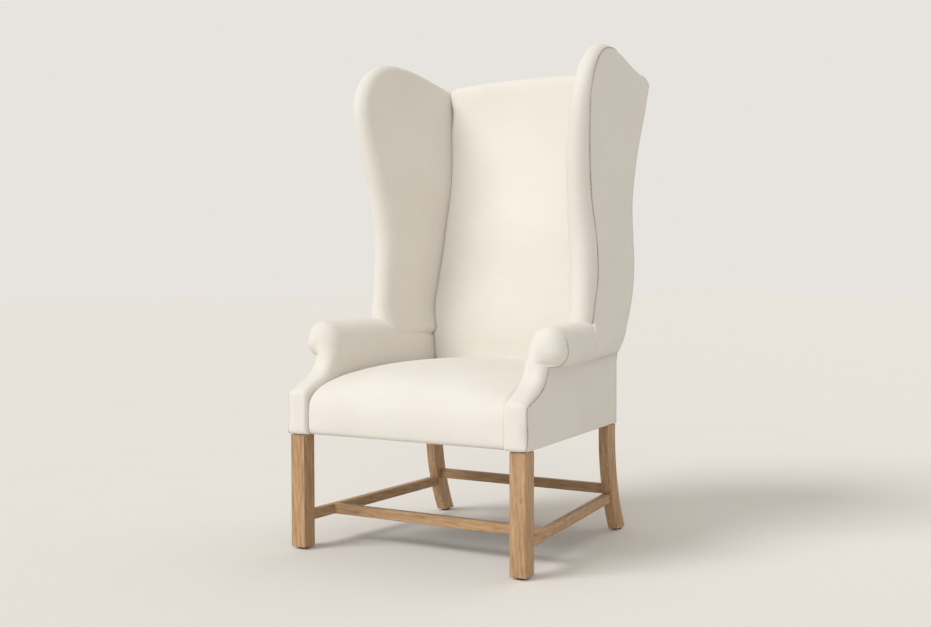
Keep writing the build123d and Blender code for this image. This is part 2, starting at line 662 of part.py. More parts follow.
# Wing frame
def wing_face(inset):
    """A wing from the side, set in from its front and top edges."""
    foot_level = WING_FOOT - WING_BASE
    front = (along(WING_FRONT) + inset, WING_FRONT_HEIGHT - WING_BASE)
    with BuildSketch(wing_view()) as outline:
        with BuildLine():
            brow = JernArc(front, (0, -1), WING_BROW_RADIUS - inset, WING_FLARE)
            slope = Line(brow @ 1, brow @ 1 + (brow % 1) * WING_STRAIGHT)
            hollow = JernArc(slope @ 1, slope % 1, WING_HOLLOW_RADIUS + inset, -2 * WING_FLARE)
            run = hollow % 1
            foot = hollow @ 1 + run * ((foot_level - (hollow @ 1).Y) / run.Y)
            Line(hollow @ 1, foot)
            curve = JernArc(front, (0, 1), WING_CURVE - inset, -90)
            fall = JernArc(curve @ 1, curve % 1, WING_FALL_RADIUS - inset, -WING_FALL)
            down = fall % 1
            rear = fall @ 1 + down * ((BEYOND - (fall @ 1).X) / down.X)
            Polyline(fall @ 1, rear, (BEYOND, foot_level), foot)
        make_face()
    return outline.sketch


with BuildPart() as wing_frame:
    extrude(wing_face(WING_POST_SET), amount=WING_POST_THICK / 2, both=True)
    inside = wing_face(WING_POST_SET + WING_POST_WIDTH)
    extrude(inside, amount=WING_POST_THICK, both=True, mode=Mode.SUBTRACT)
    split(bisect_by=lean_plane(POST_SET), keep=Keep.BOTTOM)

wing_joint = Plane(
    origin=(outside_x(WING_PEAK), at(WING_PEAK), WING_FRONT_HEIGHT),
    x_dir=OUTWARD,
    z_dir=BACKWARD,
)

with BuildPart() as wing_post:
    add(wing_frame.part)
    split(bisect_by=wing_joint, keep=Keep.BOTTOM)
    add(arm_rail.part, mode=Mode.SUBTRACT)
keep_pair(wing_post.part, "wing_post")

with BuildPart() as wing_top_rail:
    add(wing_frame.part)
    split(bisect_by=wing_joint, keep=Keep.TOP)
    add(back_post.part, mode=Mode.SUBTRACT)
keep_pair(wing_top_rail.part, "wing_top_rail")


# Springs, clips and hessian
spring_front = FRONT_RAIL_FRONT + RAIL_THICK / 2
spring_rear = BACK_RAIL_FRONT + RAIL_THICK / 2
spring_rows = [(index - (SPRING_COUNT - 1) / 2) * SPRING_SPACING for index in range(SPRING_COUNT)]


def spring_path(x):
    """Zigzag of one spring, with its corners bent round."""
    start = spring_front + CLIP_LENGTH
    pitch = (spring_rear - CLIP_LENGTH - start) / SPRING_WAVES
    points = [(x, at(spring_front)), (x, at(start))]
    side = 1
    for wave in range(SPRING_WAVES):
        points.append((x + side * SPRING_SWING, at(start + wave * pitch)))
        points.append((x + side * SPRING_SWING, at(start + (wave + 1) * pitch)))
        side = -side
    points.append((x, at(start + SPRING_WAVES * pitch)))
    points.append((x, at(spring_rear)))
    with BuildLine(Plane.XY.offset(SPRING_HEIGHT)) as path:
        FilletPolyline(*points, radius=SPRING_BEND)
    return path.line


with BuildPart() as seat_springs:
    for row in spring_rows:
        path = spring_path(row)
        with BuildSketch(Plane(origin=path @ 0, z_dir=path % 0)):
            Circle(SPRING_WIRE / 2)
        sweep(path=path)
keep(seat_springs.part, "seat_springs")

with BuildPart() as spring_clips:
    with BuildSketch(Plane.XY.offset(RAIL_TOP)):
        for row in spring_rows:
            with Locations((row, at(spring_front)), (row, at(spring_rear))):
                Rectangle(CLIP_WIDTH, CLIP_LENGTH)
    extrude(amount=CLIP_HEIGHT)
    for row in spring_rows:
        bore = SPRING_WIRE / 2 + CLIP_FIT
        wire = rod(row, SPRING_HEIGHT, spring_front - CLIP_FIT, spring_rear + CLIP_FIT, bore)
        add(wire, mode=Mode.SUBTRACT)
keep(spring_clips.part, "spring_clips")

with BuildPart() as seat_hessian:
    deck = [
        (inner_x(FRONT_RAIL_FRONT) + DECK_LAP, FRONT_RAIL_FRONT),
        (inner_x(SEAT_DEPTH) + DECK_LAP, SEAT_DEPTH),
        (POST_INNER - FIT, back_depth(0, POST_FRONT)),
        (POST_INNER - FIT, spring_rear + CLIP_LENGTH / 2),
    ]
    other = [(-x, depth) for x, depth in reversed(deck)]
    add(plan_block(deck + other, DECK_BOTTOM, DECK_THICK))
keep(seat_hessian.part, "seat_hessian")


# Seat
def seat_section(depth, top, fall):
    """Cross-section of the seat: flat below, crowned above."""
    half = inner_x(depth) - FIT
    with BuildSketch(front_view(depth)) as section:
        with BuildLine():
            ThreePointArc((-half, top - fall), (0, top), (half, top - fall))
            Polyline((half, top - fall), (half, LEG_HEIGHT), (-half, LEG_HEIGHT), (-half, top - fall))
        make_face()
    return section.sketch


def seat_form(inset):
    """The whole seat down to the bottom edge, set in from its top and front faces."""
    with BuildPart() as form:
        loft([
            seat_section(inset, SEAT_FRONT_TOP - inset, SEAT_FALL),
            seat_section(SEAT_MIDDLE, SEAT_TOP - inset, SEAT_FALL),
            seat_section(SEAT_DEPTH, SEAT_REAR_TOP - inset, SEAT_REAR_FALL),
        ])
        front = form.faces().sort_by(Axis.Y)[0]
        fillet(front.edges().sort_by(Axis.Z)[-1], SEAT_ROLL - inset)
    return form.part


with BuildPart() as seat_cover:
    add(seat_form(0))
    add(seat_form(COVER), mode=Mode.SUBTRACT)
keep(seat_cover.part, "seat_cover")

with BuildPart() as seat_foam:
    add(seat_form(COVER + FIT))
    well = FRONT_RAIL_FRONT - FIT
    under = [(-HALF_FRONT, well), (HALF_FRONT, well), (HALF_FRONT, BODY_DEPTH), (-HALF_FRONT, BODY_DEPTH)]
    add(plan_block(under, LEG_HEIGHT, SEAT_BOTTOM - LEG_HEIGHT), mode=Mode.SUBTRACT)
keep(seat_foam.part, "seat_foam")


# Arms, covers and foam
def roll_section(depth, radius, inside, bottom):
    """Round section of the arm roll, resting on a height."""
    with BuildSketch(front_view(depth)) as section:
        with Locations((outside_x(depth, inside), bottom + radius)):
            Circle(radius)
    return section.sketch


def arm_form(inset):
    """The arm roll and the inside arm, set in from the faces that are seen."""
    low = NECK_HEIGHT + FIT + inset
    rear_low = low + ROLL_REAR_LIFT
    with BuildPart() as form:
        loft([
            roll_section(ROLL_FRONT + inset, ROLL_RADIUS - inset, ROLL_SET, low),
            roll_section(ROLL_PLAIN_END, ROLL_RADIUS - inset, ROLL_SET, low),
        ])
        rim = form.faces().sort_by(Axis.Y)[0].edges()
        fillet(rim, ROLL_DOME - inset)
        loft([
            roll_section(ROLL_PLAIN_END, ROLL_RADIUS - inset, ROLL_SET, low),
            roll_section(ROLL_REAR, ROLL_REAR_RADIUS - inset, ROLL_REAR_SET, rear_low),
        ])
        split(bisect_by=lean_plane(COVER + FIT), keep=Keep.BOTTOM)
        front = FACING_DEPTH + FIT
        shift = front / sqrt(2)
        turn = atan(INNER_SLOPE)
        inside = Plane(
            origin=(INNER_FRONT + inset, at(0), 0),
            x_dir=(-sin(turn), cos(turn), 0),
            z_dir=(cos(turn), sin(turn), 0),
        )
        with BuildSketch(inside):
            with BuildLine():
                step = (front / cos(turn), STEP_HEIGHT - front)
                bend = ((SWEEP_DEPTH + shift) / cos(turn), SWEEP_HEIGHT - shift)
                neck = ((NECK_DEPTH + front) / cos(turn), NECK_HEIGHT)
                top = (neck[0] + ROLL_DOME, NECK_HEIGHT + ROLL_RADIUS)
                rear = BODY_DEPTH - POST_FRONT
                Line((step[0], ARM_PAD_BOTTOM), step)
                ThreePointArc(step, bend, neck)
                Polyline(neck, top, (rear, top[1]), (rear, ARM_PAD_BOTTOM), (step[0], ARM_PAD_BOTTOM))
            make_face()
        extrude(amount=ARM_PAD - inset, dir=(1, 0, 0))
    return form.part


with BuildPart() as arm_cover:
    add(arm_form(0))
    add(arm_form(COVER), mode=Mode.SUBTRACT)
    add(post_zone.part, mode=Mode.SUBTRACT)
    add(arm_stump.part, mode=Mode.SUBTRACT)
    add(wing_post.part, mode=Mode.SUBTRACT)
    add(arm_rail.part, mode=Mode.SUBTRACT)
keep_pair(arm_cover.part, "arm_cover")

with BuildPart() as arm_foam:
    add(arm_form(COVER + FIT))
    add(post_zone.part, mode=Mode.SUBTRACT)
    add(arm_stump.part, mode=Mode.SUBTRACT)
    add(wing_post.part, mode=Mode.SUBTRACT)
    add(arm_rail.part, mode=Mode.SUBTRACT)
keep_pair(arm_foam.part, "arm_foam")

arm_room = arm_form(-FIT)


def facing_layer(inset, thick):
    """Layer over the front of an arm, from the bottom edge up to the neck and back under the scroll."""
    back = NECK_DEPTH + FACING_DEPTH + ROLL_DOME
    width = FACING_WIDTH - COVER - FIT
    outer = arm_front(inset, LEG_HEIGHT, back, COVER + FIT, NECK_HEIGHT - inset)
    inner = arm_front(inset + thick, LEG_HEIGHT, back, 0, NECK_HEIGHT - inset - thick)
    with BuildPart() as layer:
        extrude(outer, amount=width, dir=INWARD)
        extrude(inner, amount=HALF_FRONT, dir=INWARD, mode=Mode.SUBTRACT)
        add(arm_stump.part, mode=Mode.SUBTRACT)
        add(arm_room, mode=Mode.SUBTRACT)
    return layer.part


with BuildPart() as arm_facing_cover:
    add(facing_layer(0, COVER))
keep_pair(arm_facing_cover.part, "arm_facing_cover")

with BuildPart() as arm_facing_foam:
    add(facing_layer(COVER + FIT, FACING_FOAM))
keep_pair(arm_facing_foam.part, "arm_facing_foam")

with BuildPart() as outside_arm_panel:
    extrude(arm_front(0, LEG_HEIGHT, BODY_DEPTH - COVER - FIT), amount=COVER, dir=INWARD)
keep_pair(outside_arm_panel.part, "outside_arm_panel")


# Wings, covers and foam
def wing_form(inset):
    """A wing with its soft round edge, set in all over."""
    plane = wing_view()
    half = WING_THICK / 2 - inset
    with BuildPart() as form:
        extrude(wing_face(inset), amount=half, both=True)
        rims = []
        for edge in form.edges():
            middle = plane.to_local_coords(edge.center())
            on_side = abs(abs(middle.Z) - half) < FIT
            if on_side and middle.X < BEYOND - FIT and middle.Y > WING_FOOT - WING_BASE + FIT:
                rims.append(edge)
        fillet(rims, WING_THICK * WING_ROUND - inset)
        split(bisect_by=lean_plane(COVER + FIT), keep=Keep.BOTTOM)
    return form.part


def wing_side(inset, inner, outer):
    """Flat layer of the wing's outer side, between two distances from its middle."""
    with BuildPart() as layer:
        extrude(wing_face(inset), amount=outer)
        extrude(wing_face(inset), amount=inner, mode=Mode.SUBTRACT)
        split(bisect_by=lean_plane(COVER + FIT), keep=Keep.BOTTOM)
    return layer.part


panel_inset = WING_THICK * WING_ROUND + COVER
panel_face = WING_THICK / 2

with BuildPart() as outside_wing_panel:
    add(wing_side(panel_inset, panel_face - COVER, panel_face))
    add(arm_room, mode=Mode.SUBTRACT)
keep_pair(outside_wing_panel.part, "outside_wing_panel")

with BuildPart() as wing_cover:
    add(wing_form(0))
    add(wing_form(COVER), mode=Mode.SUBTRACT)
    add(wing_side(panel_inset - FIT, panel_face - COVER - FIT, panel_face + FIT), mode=Mode.SUBTRACT)
    add(arm_room, mode=Mode.SUBTRACT)
    add(post_zone.part, mode=Mode.SUBTRACT)
keep_pair(wing_cover.part, "wing_cover")

with BuildPart() as wing_foam:
    add(wing_form(COVER + FIT))
    add(wing_frame.part, mode=Mode.SUBTRACT)
    add(arm_room, mode=Mode.SUBTRACT)
    add(post_zone.part, mode=Mode.SUBTRACT)
keep_pair(wing_foam.part, "wing_foam")


# Back, covers and foam
def wing_x(depth, height, side):
    """X on a face of the left wing; side is 1 for the outer face and -1 for the inner."""
    tip = radians(WING_TIP_OUT)
    half = WING_THICK / 2 / cos(SIDE_TURN) / cos(tip)
    return outside_x(depth, WING_BASE_SET) + side * half + (height - WING_BASE) * tan(tip)


def back_half(depth, height):
    """Half width of the inside back, between the wings or between the arms."""
    if height > ARM_TOP:
        return wing_x(depth, height, -1) - FIT
    return min(wing_x(depth, height, -1), inner_x(depth)) - 2 * FIT


def back_section(height, rear_set, crown, inset):
    """Plan section of the inside back: flat behind, crowned in front."""
    rear = back_depth(height, rear_set)
    edge = back_depth(height, BACK_REAR + BACK_EDGE - inset)
    rear_half = back_half(rear, height)
    edge_half = back_half(edge, height)
    with BuildSketch(Plane.XY.offset(height)) as section:
        with BuildLine():
            ThreePointArc((-edge_half, at(edge)), (0, at(edge - crown)), (edge_half, at(edge)))
            Polyline((edge_half, at(edge)), (rear_half, at(rear)), (-rear_half, at(rear)),
                     (-edge_half, at(edge)))
        make_face()
    return section.sketch


def back_form(inset):
    """The padded back and its rounded top, set in from its front and top faces."""
    over = BACK_TOP + BACK_ROUND
    swell = [(BACK_BOTTOM, BACK_FOOT_CROWN), (ARM_TOP, BACK_CROWN), (ARM_TOP + BACK_ROUND, BACK_CROWN),
             (POST_TOP + FIT, BACK_HEAD_CROWN), (over, BACK_HEAD_CROWN)]
    with BuildPart() as form:
        loft([back_section(height, BACK_REAR, crown, inset) for height, crown in swell], ruled=True)
        loft([back_section(height, COVER + FIT, crown, inset) for height, crown in swell[-2:]], ruled=True)
        with BuildSketch(front_view(BEYOND)):
            with BuildLine():
                ThreePointArc((-INNER_FRONT, BACK_SIDE_TOP - inset), (0, BACK_TOP - inset),
                              (INNER_FRONT, BACK_SIDE_TOP - inset))
                Polyline((INNER_FRONT, BACK_SIDE_TOP - inset), (INNER_FRONT, over + LEG_HEIGHT),
                         (-INNER_FRONT, over + LEG_HEIGHT), (-INNER_FRONT, BACK_SIDE_TOP - inset))
            make_face()
        extrude(amount=BEYOND, mode=Mode.SUBTRACT)
        crest = form.faces().sort_by(Axis.Z)[-1]
        fillet(crest.edges().sort_by(Axis.Y)[0], BACK_ROUND - inset)
    return form.part


with BuildPart() as back_cover:
    add(back_form(0))
    add(back_form(COVER), mode=Mode.SUBTRACT)
keep(back_cover.part, "inside_back_cover")

with BuildPart() as back_foam:
    add(back_form(COVER + FIT))
keep(back_foam.part, "back_foam")

with BuildPart() as outside_back_cover:
    add(across(lean_strip(LEG_HEIGHT, BACK_TOP, 0, COVER), HALF_FRONT))
    with BuildSketch(front_view(BEYOND)):
        with BuildLine():
            shoulder = wing_x(back_depth(WING_REAR_HEIGHT), WING_REAR_HEIGHT, 1)
            flank = wing_x(back_depth(ARM_TOP), ARM_TOP, 1)
            Polyline(
                (-BACK_SHOULDER, BACK_SIDE_TOP), (-shoulder, WING_REAR_HEIGHT), (-flank, ARM_TOP),
                (-HALF_REAR, NECK_HEIGHT), (-HALF_REAR, LEG_HEIGHT), (HALF_REAR, LEG_HEIGHT),
                (HALF_REAR, NECK_HEIGHT), (flank, ARM_TOP), (shoulder, WING_REAR_HEIGHT),
                (BACK_SHOULDER, BACK_SIDE_TOP),
            )
            ThreePointArc((BACK_SHOULDER, BACK_SIDE_TOP), (0, BACK_TOP), (-BACK_SHOULDER, BACK_SIDE_TOP))
        make_face()
    extrude(amount=BEYOND, mode=Mode.INTERSECT)
keep(outside_back_cover.part, "outside_back_cover")


# Dust cover
with BuildPart() as dust_cover:
    edge_in = SIDE_RAIL_SET + DUST_LAP
    half_plan = [
        (LEG_INNER - FIT, FRONT_RAIL_FRONT + DUST_LAP),
        (LEG_INNER - FIT, LEG_BACK + FIT),
        (outside_x(LEG_BACK, edge_in), LEG_BACK + FIT),
        (outside_x(REAR_LEG_FRONT, edge_in), REAR_LEG_FRONT - FIT),
        (REAR_LEG_INNER - FIT, REAR_LEG_FRONT - FIT),
        (REAR_LEG_INNER - FIT, BACK_RAIL_FRONT + RAIL_THICK - DUST_LAP),
    ]
    other = [(-x, depth) for x, depth in reversed(half_plan)]
    add(plan_block(half_plan + other, RAIL_BOTTOM - DUST_THICK, DUST_THICK))
keep(dust_cover.part, "dust_cover")
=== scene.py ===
"""Looks of a wing armchair: a tight linen cover over a sprung frame, on an oak base.

Metres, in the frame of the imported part: +Z up, the chair faces -Y, +X is the sitter's left. Depths are
measured back from the front face of the upholstery, and heights from the floor.
"""

from math import cos, pi, radians, sin

import bpy
import numpy as np
from mathutils import Matrix, Vector


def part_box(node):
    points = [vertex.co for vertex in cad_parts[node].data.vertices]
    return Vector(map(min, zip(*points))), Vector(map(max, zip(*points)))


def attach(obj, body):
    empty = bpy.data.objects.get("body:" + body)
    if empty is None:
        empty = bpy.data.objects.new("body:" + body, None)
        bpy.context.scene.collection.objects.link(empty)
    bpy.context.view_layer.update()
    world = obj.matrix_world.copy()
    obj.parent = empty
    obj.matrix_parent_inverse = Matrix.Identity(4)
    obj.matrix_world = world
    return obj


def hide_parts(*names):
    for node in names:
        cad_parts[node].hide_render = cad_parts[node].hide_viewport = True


bl_info = {
    "name": "Wing armchair",
    "version": (1, 0, 0),
    "blender": (4, 5, 0),
    "location": "3D View > Sidebar > Armchair",
    "description": "Upholstery, oak base and stage of a wing armchair, built round its packed frame",
    "category": "Object",
}

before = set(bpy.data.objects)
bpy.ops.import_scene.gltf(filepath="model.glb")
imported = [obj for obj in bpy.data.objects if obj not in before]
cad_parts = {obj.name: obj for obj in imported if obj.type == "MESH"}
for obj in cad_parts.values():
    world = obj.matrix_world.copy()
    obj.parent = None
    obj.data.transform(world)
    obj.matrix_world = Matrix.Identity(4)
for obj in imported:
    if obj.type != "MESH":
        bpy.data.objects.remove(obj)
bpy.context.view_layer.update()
SIDES = {"left": 1, "right": -1}
TINY = 1e-9
MERGE = 0.00005
FINE_STEPS = 40

# Body: its outside from the frame, then the room between the arms and the lean of the back
PANEL_CLOTH = 0.0015
PANEL_BOTTOM = 0.3025
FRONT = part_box("seat_cover")[0].y
HALF_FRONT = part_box("outside_arm_panel_left")[1].x
HALF_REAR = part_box("outside_arm_panel_left")[0].x + PANEL_CLOTH
BODY_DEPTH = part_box("outside_back_cover")[0].y - FRONT + PANEL_CLOTH
SIDE_TAPER = (HALF_FRONT - HALF_REAR) / BODY_DEPTH
SEAT_DEPTH = 0.549
INNER_FRONT = 0.290
INNER_REAR = 0.252
INNER_TAPER = (INNER_FRONT - INNER_REAR) / SEAT_DEPTH
LEAN_START = 0.470
LEAN = 0.190
REAR_GAP = 0.002

# How a cover settles over its padding
SETTLE = {
    "quality": 4, "mass": 0.3, "tension_stiffness": 30.0, "compression_stiffness": 30.0,
    "bending_stiffness": 2.0, "use_pressure": True, "uniform_pressure_force": 4.0}
SETTLE_FRAMES = 20
SEWN_MARGIN = 9

# Seat, as depth and height: the middle line, and the line along its sides
SEAT_MIDDLE = [
    (0.036, 0.302), (0.018, 0.3021), (0.006, 0.3055), (0.001, 0.316), (0.000, 0.345), (0.001, 0.385),
    (0.012, 0.420), (0.040, 0.448), (0.100, 0.472), (0.180, 0.483), (0.270, 0.487), (0.420, 0.482),
    (0.549, 0.470), (0.610, 0.462)]
SEAT_SIDE = [
    (0.038, 0.302), (0.020, 0.3021), (0.009, 0.3055), (0.0045, 0.316), (0.004, 0.340), (0.0045, 0.370),
    (0.007, 0.386), (0.016, 0.403), (0.040, 0.421), (0.100, 0.438), (0.180, 0.450), (0.270, 0.458),
    (0.420, 0.463), (0.549, 0.465), (0.610, 0.460)]
SEAT_EDGE_SHARE = [(0.300, 0.45), (0.388, 0.45), (0.440, 1.0), (0.500, 1.0)]
SEAT_CROWN_POWER = 2.3
SEAT_PRESS = 0.0005
SEAT_ROWS = 130
SEAT_EDGE_STEPS = 8
SEAT_FLAT_STEPS = 36

# Wing, as depth and height
WING_FRONT_EDGE = [
    (0.331, 0.500), (0.343, 0.600), (0.3535, 0.700), (0.353, 0.800), (0.337, 0.900), (0.316, 1.000),
    (0.296, 1.100)]
WING_CURVE_CENTRE = (0.454, 1.149)
WING_CURVE_RADIUS = 0.162
WING_CURVE_STEPS = 9
WING_TOP_EDGE = [
    (0.514, 1.308), (0.556, 1.302), (0.634, 1.285), (0.711, 1.270), (0.750, 1.263), (0.771, 1.252)]
WING_FOOT = 0.500
WING_REAR_TOP = 1.240
WING_ROWS = 420
WING_COLUMNS = (14, 26)
FAN_LIMIT = 0.45

# Wing faces, as height and distance inside the line of the outside panels
WING_OUTER_FRONT = [
    (0.488, -0.015), (0.560, -0.026), (0.600, -0.0268), (0.640, -0.0262), (0.700, -0.0296), (0.800, -0.028),
    (0.900, -0.023), (1.000, -0.027), (1.100, -0.0366), (1.190, -0.0446), (1.311, -0.053)]
WING_OUTER_REAR = [
    (0.488, 0.000), (0.535, -0.0178), (0.576, -0.025), (0.650, -0.0343), (0.731, -0.0351), (0.815, -0.0265),
    (0.898, -0.0184), (1.033, -0.0221), (1.179, -0.0396), (1.251, -0.0467), (1.311, -0.052)]
WING_INNER = [
    (0.500, 0.020), (0.533, 0.030), (0.546, 0.0455), (0.555, 0.0498), (0.575, 0.0460), (0.600, 0.0400),
    (0.700, 0.040), (0.800, 0.0466), (0.900, 0.045), (1.000, 0.0368), (1.100, 0.0224), (1.190, 0.010),
    (1.311, -0.003)]
WING_MIDDLE_DEPTH = 0.370
WING_ROUND = [(0.250, 1.0), (0.680, 1.0), (0.730, 0.75), (0.772, 0.35), (0.800, 0.35)]

# Outside wing panel: its face over the rear of the arm's roll, its seam there, and its turned front edge
PANEL_FRONT = [
    (0.490, -0.010), (0.496, -0.0281), (0.504, -0.0386), (0.515, -0.0463), (0.531, -0.0500),
    (0.548, -0.0483), (0.565, -0.0427), (0.580, -0.0345), (0.600, -0.0280), (0.640, -0.0262),
    (0.700, -0.0296)]
PANEL_FOOT = [
    (0.338, 0.491), (0.336, 0.505), (0.336, 0.520), (0.336, 0.535), (0.340, 0.551), (0.351, 0.569)]
PANEL_FOOT_GAP = 0.001
PANEL_SEAM_JOIN = 0.588
PANEL_SEAM_STEP = 4
PANEL_HEM = 0.002
PANEL_STAND = 0.0008
PANEL_TURN = 0.0015
PANEL_TURN_LOW = 0.005
PANEL_TURN_RISE = (0.640, 0.590)
PANEL_ROWS = 200
PANEL_COLUMNS = (2, 40)

# Welt of a wing, as its distance inside the edge: by height up the front, by depth over the top
WELT_RISE = [
    (0.500, 0.024), (0.592, 0.029), (0.669, 0.043), (0.756, 0.045), (0.815, 0.0425), (0.892, 0.036),
    (1.004, 0.031), (1.162, 0.023), (1.252, 0.017), (1.305, 0.013), (1.320, 0.0125)]
WELT_TOP = [(0.440, 0.0125), (0.510, 0.005), (0.560, 0.0015), (0.800, 0.0015)]
WELT_FOOT = 0.584
WELT_STEPS = 320
WELT_EDGE_STEPS = 600
WELT_STAND = 0.0002
WELT_ROUNDNESS = 2
FRONT_WELT_FIRST = 12
FRONT_WELT_TOP = 0.65

# Small gathers beside a seam
GATHER_PITCH = 0.012
GATHER_REACH = 0.011
GATHER_SWING = 1.9
GATHER_REPEAT = 6.3

# Arm and its roll
ARM_GAP = 0.001
ROLL_RADIUS = 0.05145
ROLL_SET = 0.0015
ROLL_SHIFT = 0.12
ROLL_OUT = 0.88
ROLL_IN = 1.12
ROLL_UP = 1.20
ROLL_DOWN = 0.80
ROLL_FOOT = 0.4868
ROLL_FRONT_RISE = 0.0087
ROLL_FRONT_RUN = 0.040
ROLL_PLAIN_END = 0.372
ROLL_REAR_RADIUS = 0.022
ROLL_REAR_SET = 0.020
ROLL_LIFT = 0.0085
ROLL_LIFT_START = 0.200
ROLL_END = -0.56 * pi
ROLL_STEPS = 76
ARM_FOOT = 0.395
ARM_BEND = 0.455
ARM_REAR = 0.610
ARM_LAP = 0.0015
ARM_FIRST_RUNS = np.array([0.0, 0.002, 0.005])
ARM_NEXT_RUN = 0.010
ARM_SUNK = 0.0012
ARM_ROWS = 88
ARM_WALL_STEPS = 30
ARM_UNDER_STEPS = 9

# Arm front: the stepped and swept path as depth and height, then the domed face of the scroll
FACING_PATH = [
    (0.030, 0.302), (0.008, 0.3021), (-0.001, 0.3045), (-0.0045, 0.311), (-0.005, 0.340), (-0.005, 0.375),
    (-0.005, 0.398), (-0.0035, 0.4085), (0.003, 0.416), (0.0175, 0.4245), (0.041, 0.4360), (0.063, 0.447),
    (0.080, 0.460), (0.0905, 0.475), (0.0957, 0.487), (0.0975, 0.4955)]
FACING_NECK = FACING_PATH[-1][1]
FACING_ROWS = 150
FACING_COLUMNS = 40
FACING_WALL = 8
FACING_EDGE = FACING_WALL + FACING_COLUMNS - 1
FACING_CROWN = 0.0012
FACING_END = 0.153
FACING_WALL_LEAST = 0.004
FACING_TUCK = 0.002
SCROLL_FACE = [(0.4955, 0.0975), (0.502, 0.0985), (0.512, 0.0995), (0.526, 0.100), (0.592, 0.100)]
SCROLL_START = radians(-84.0)
SCROLL_FULL = radians(-50.0)
SCROLL_DEPTH = 0.145
SCROLL_ROWS = 72
SCROLL_ROW_GAP = 0.00002
SCROLL_BASE = 0.440
SCROLL_DOME = 0.530
SCROLL_GATHER = 1.4
SCROLL_GATHER_PITCH = 0.009
SCROLL_GATHER_INSET = 0.004
EDGE_DEEP = [
    (0.300, -0.006), (0.304, -0.0055), (0.316, 0.000), (0.402, 0.001), (0.440, 0.009), (0.470, 0.012),
    (0.492, 0.015), (0.532, 0.035), (0.600, 0.035)]
EDGE_WIDE_INNER = [
    (0.300, 0.000), (0.402, 0.001), (0.440, 0.009), (0.470, 0.013), (0.492, 0.018), (0.532, 0.042),
    (0.600, 0.042)]
EDGE_WIDE_OUTER = [
    (0.300, 0.018), (0.402, 0.017), (0.440, 0.014), (0.470, 0.015), (0.492, 0.019), (0.532, 0.042),
    (0.600, 0.042)]
EDGE_CHANGE = (0.3, 0.8)

# Outside arm panel
ARM_FLARE = 0.007
ARM_FLARE_RISE = (0.400, 0.470)
ARM_PANEL_TUCK = 0.006
ARM_PANEL_BULGE = 0.0022
ARM_PANEL_FULLNESS = 0.6
ARM_PANEL_ROWS = 60
ARM_PANEL_COLUMNS = 90

# Inside back, as height, depth of its side seams and crown; its top edge by half width
BACK_SEAM = [
    (0.455, 0.553), (0.560, 0.556), (0.703, 0.583), (0.838, 0.605), (1.009, 0.654), (1.190, 0.688),
    (1.290, 0.698)]
BACK_CROWN = [(0.455, 0.012), (0.590, 0.025), (0.900, 0.025), (1.236, 0.014), (1.290, 0.012)]
BACK_TOP = [(0.000, 1.2815), (0.150, 1.279), (0.230, 1.2745), (0.284, 1.2685), (0.325, 1.254)]
BACK_TOP_HALF = 0.270
BACK_TOP_CROWN = 0.0015
BACK_TOP_TUCK = 0.013
BACK_TOP_RISE = (1.190, 1.250)
BACK_ROUND = 0.026
BACK_PRESS = 0.0015
BACK_REAR_GAP = 0.003
BACK_SEAM_TOP = 1.300
BACK_TUCK_GAP = 0.002
BACK_FACE_ROWS = 120
BACK_TUCK_ROWS = BACK_FACE_ROWS - 2
BACK_TOP_ROWS = 12
BACK_COLUMNS = 69

# Outside back
REAR_CORNER = 0.012
REAR_STAND = 0.0005
REAR_LAP = 0.001
REAR_BULGE = 0.004
REAR_CLOTH = 0.003
REAR_ROWS = 140
REAR_COLUMNS = 70

# Dust cover
DUST_INSET = 0.012
DUST_RUCK = 0.0006
DUST_RUCK_TURN = 46
DUST_RUCK_WAVES = 3
DUST_CLOTH = 0.0008
DUST_STEPS = 50

# Threads, and the stretches of the grain: short across it and long along it
LINEN_THREAD = 0.0011
DUST_THREAD = 0.0014
HESSIAN_THREAD = 0.0024
WEBBING_THREAD = 0.0018
OAK_ACROSS, OAK_ALONG = 40.0, 3.4
FRAME_GRAIN = (30.0, 30.0, 2.5)
OAK_GRAIN = {
    "oak_upright": ((OAK_ACROSS, OAK_ACROSS, OAK_ALONG),
                    ("front_leg_left", "front_leg_right", "rear_leg_left", "rear_leg_right")),
    "oak_across": ((OAK_ALONG, OAK_ACROSS, OAK_ACROSS), ("cross_stretcher", "rear_stretcher")),
    "oak_lengthwise": ((OAK_ACROSS, OAK_ALONG, OAK_ACROSS), ("side_stretcher_left", "side_stretcher_right")),
}
FRAME_WOOD = (
    "arm_rail", "arm_stump", "back_post", "back_seat_rail", "corner_blocks", "crest_rail", "frame_dowels",
    "front_seat_rail", "lower_back_rail", "side_seat_rail", "wing_post", "wing_top_rail")

# Colours of what is seldom seen, light and dark
DUST_BLACK = ((0.030, 0.030, 0.032), (0.012, 0.012, 0.013))
GLIDE_DARK = ((0.035, 0.030, 0.027), (0.020, 0.018, 0.016))
FRAME_PALE = ((0.520, 0.360, 0.220), (0.400, 0.250, 0.140))
SPRING_GREY = ((0.420, 0.420, 0.430), (0.300, 0.300, 0.310))
CLIP_GREY = ((0.180, 0.180, 0.190), (0.120, 0.120, 0.125))
HESSIAN_BROWN = ((0.330, 0.230, 0.130), (0.210, 0.140, 0.075))
WEBBING_BROWN = ((0.420, 0.330, 0.210), (0.230, 0.170, 0.100))

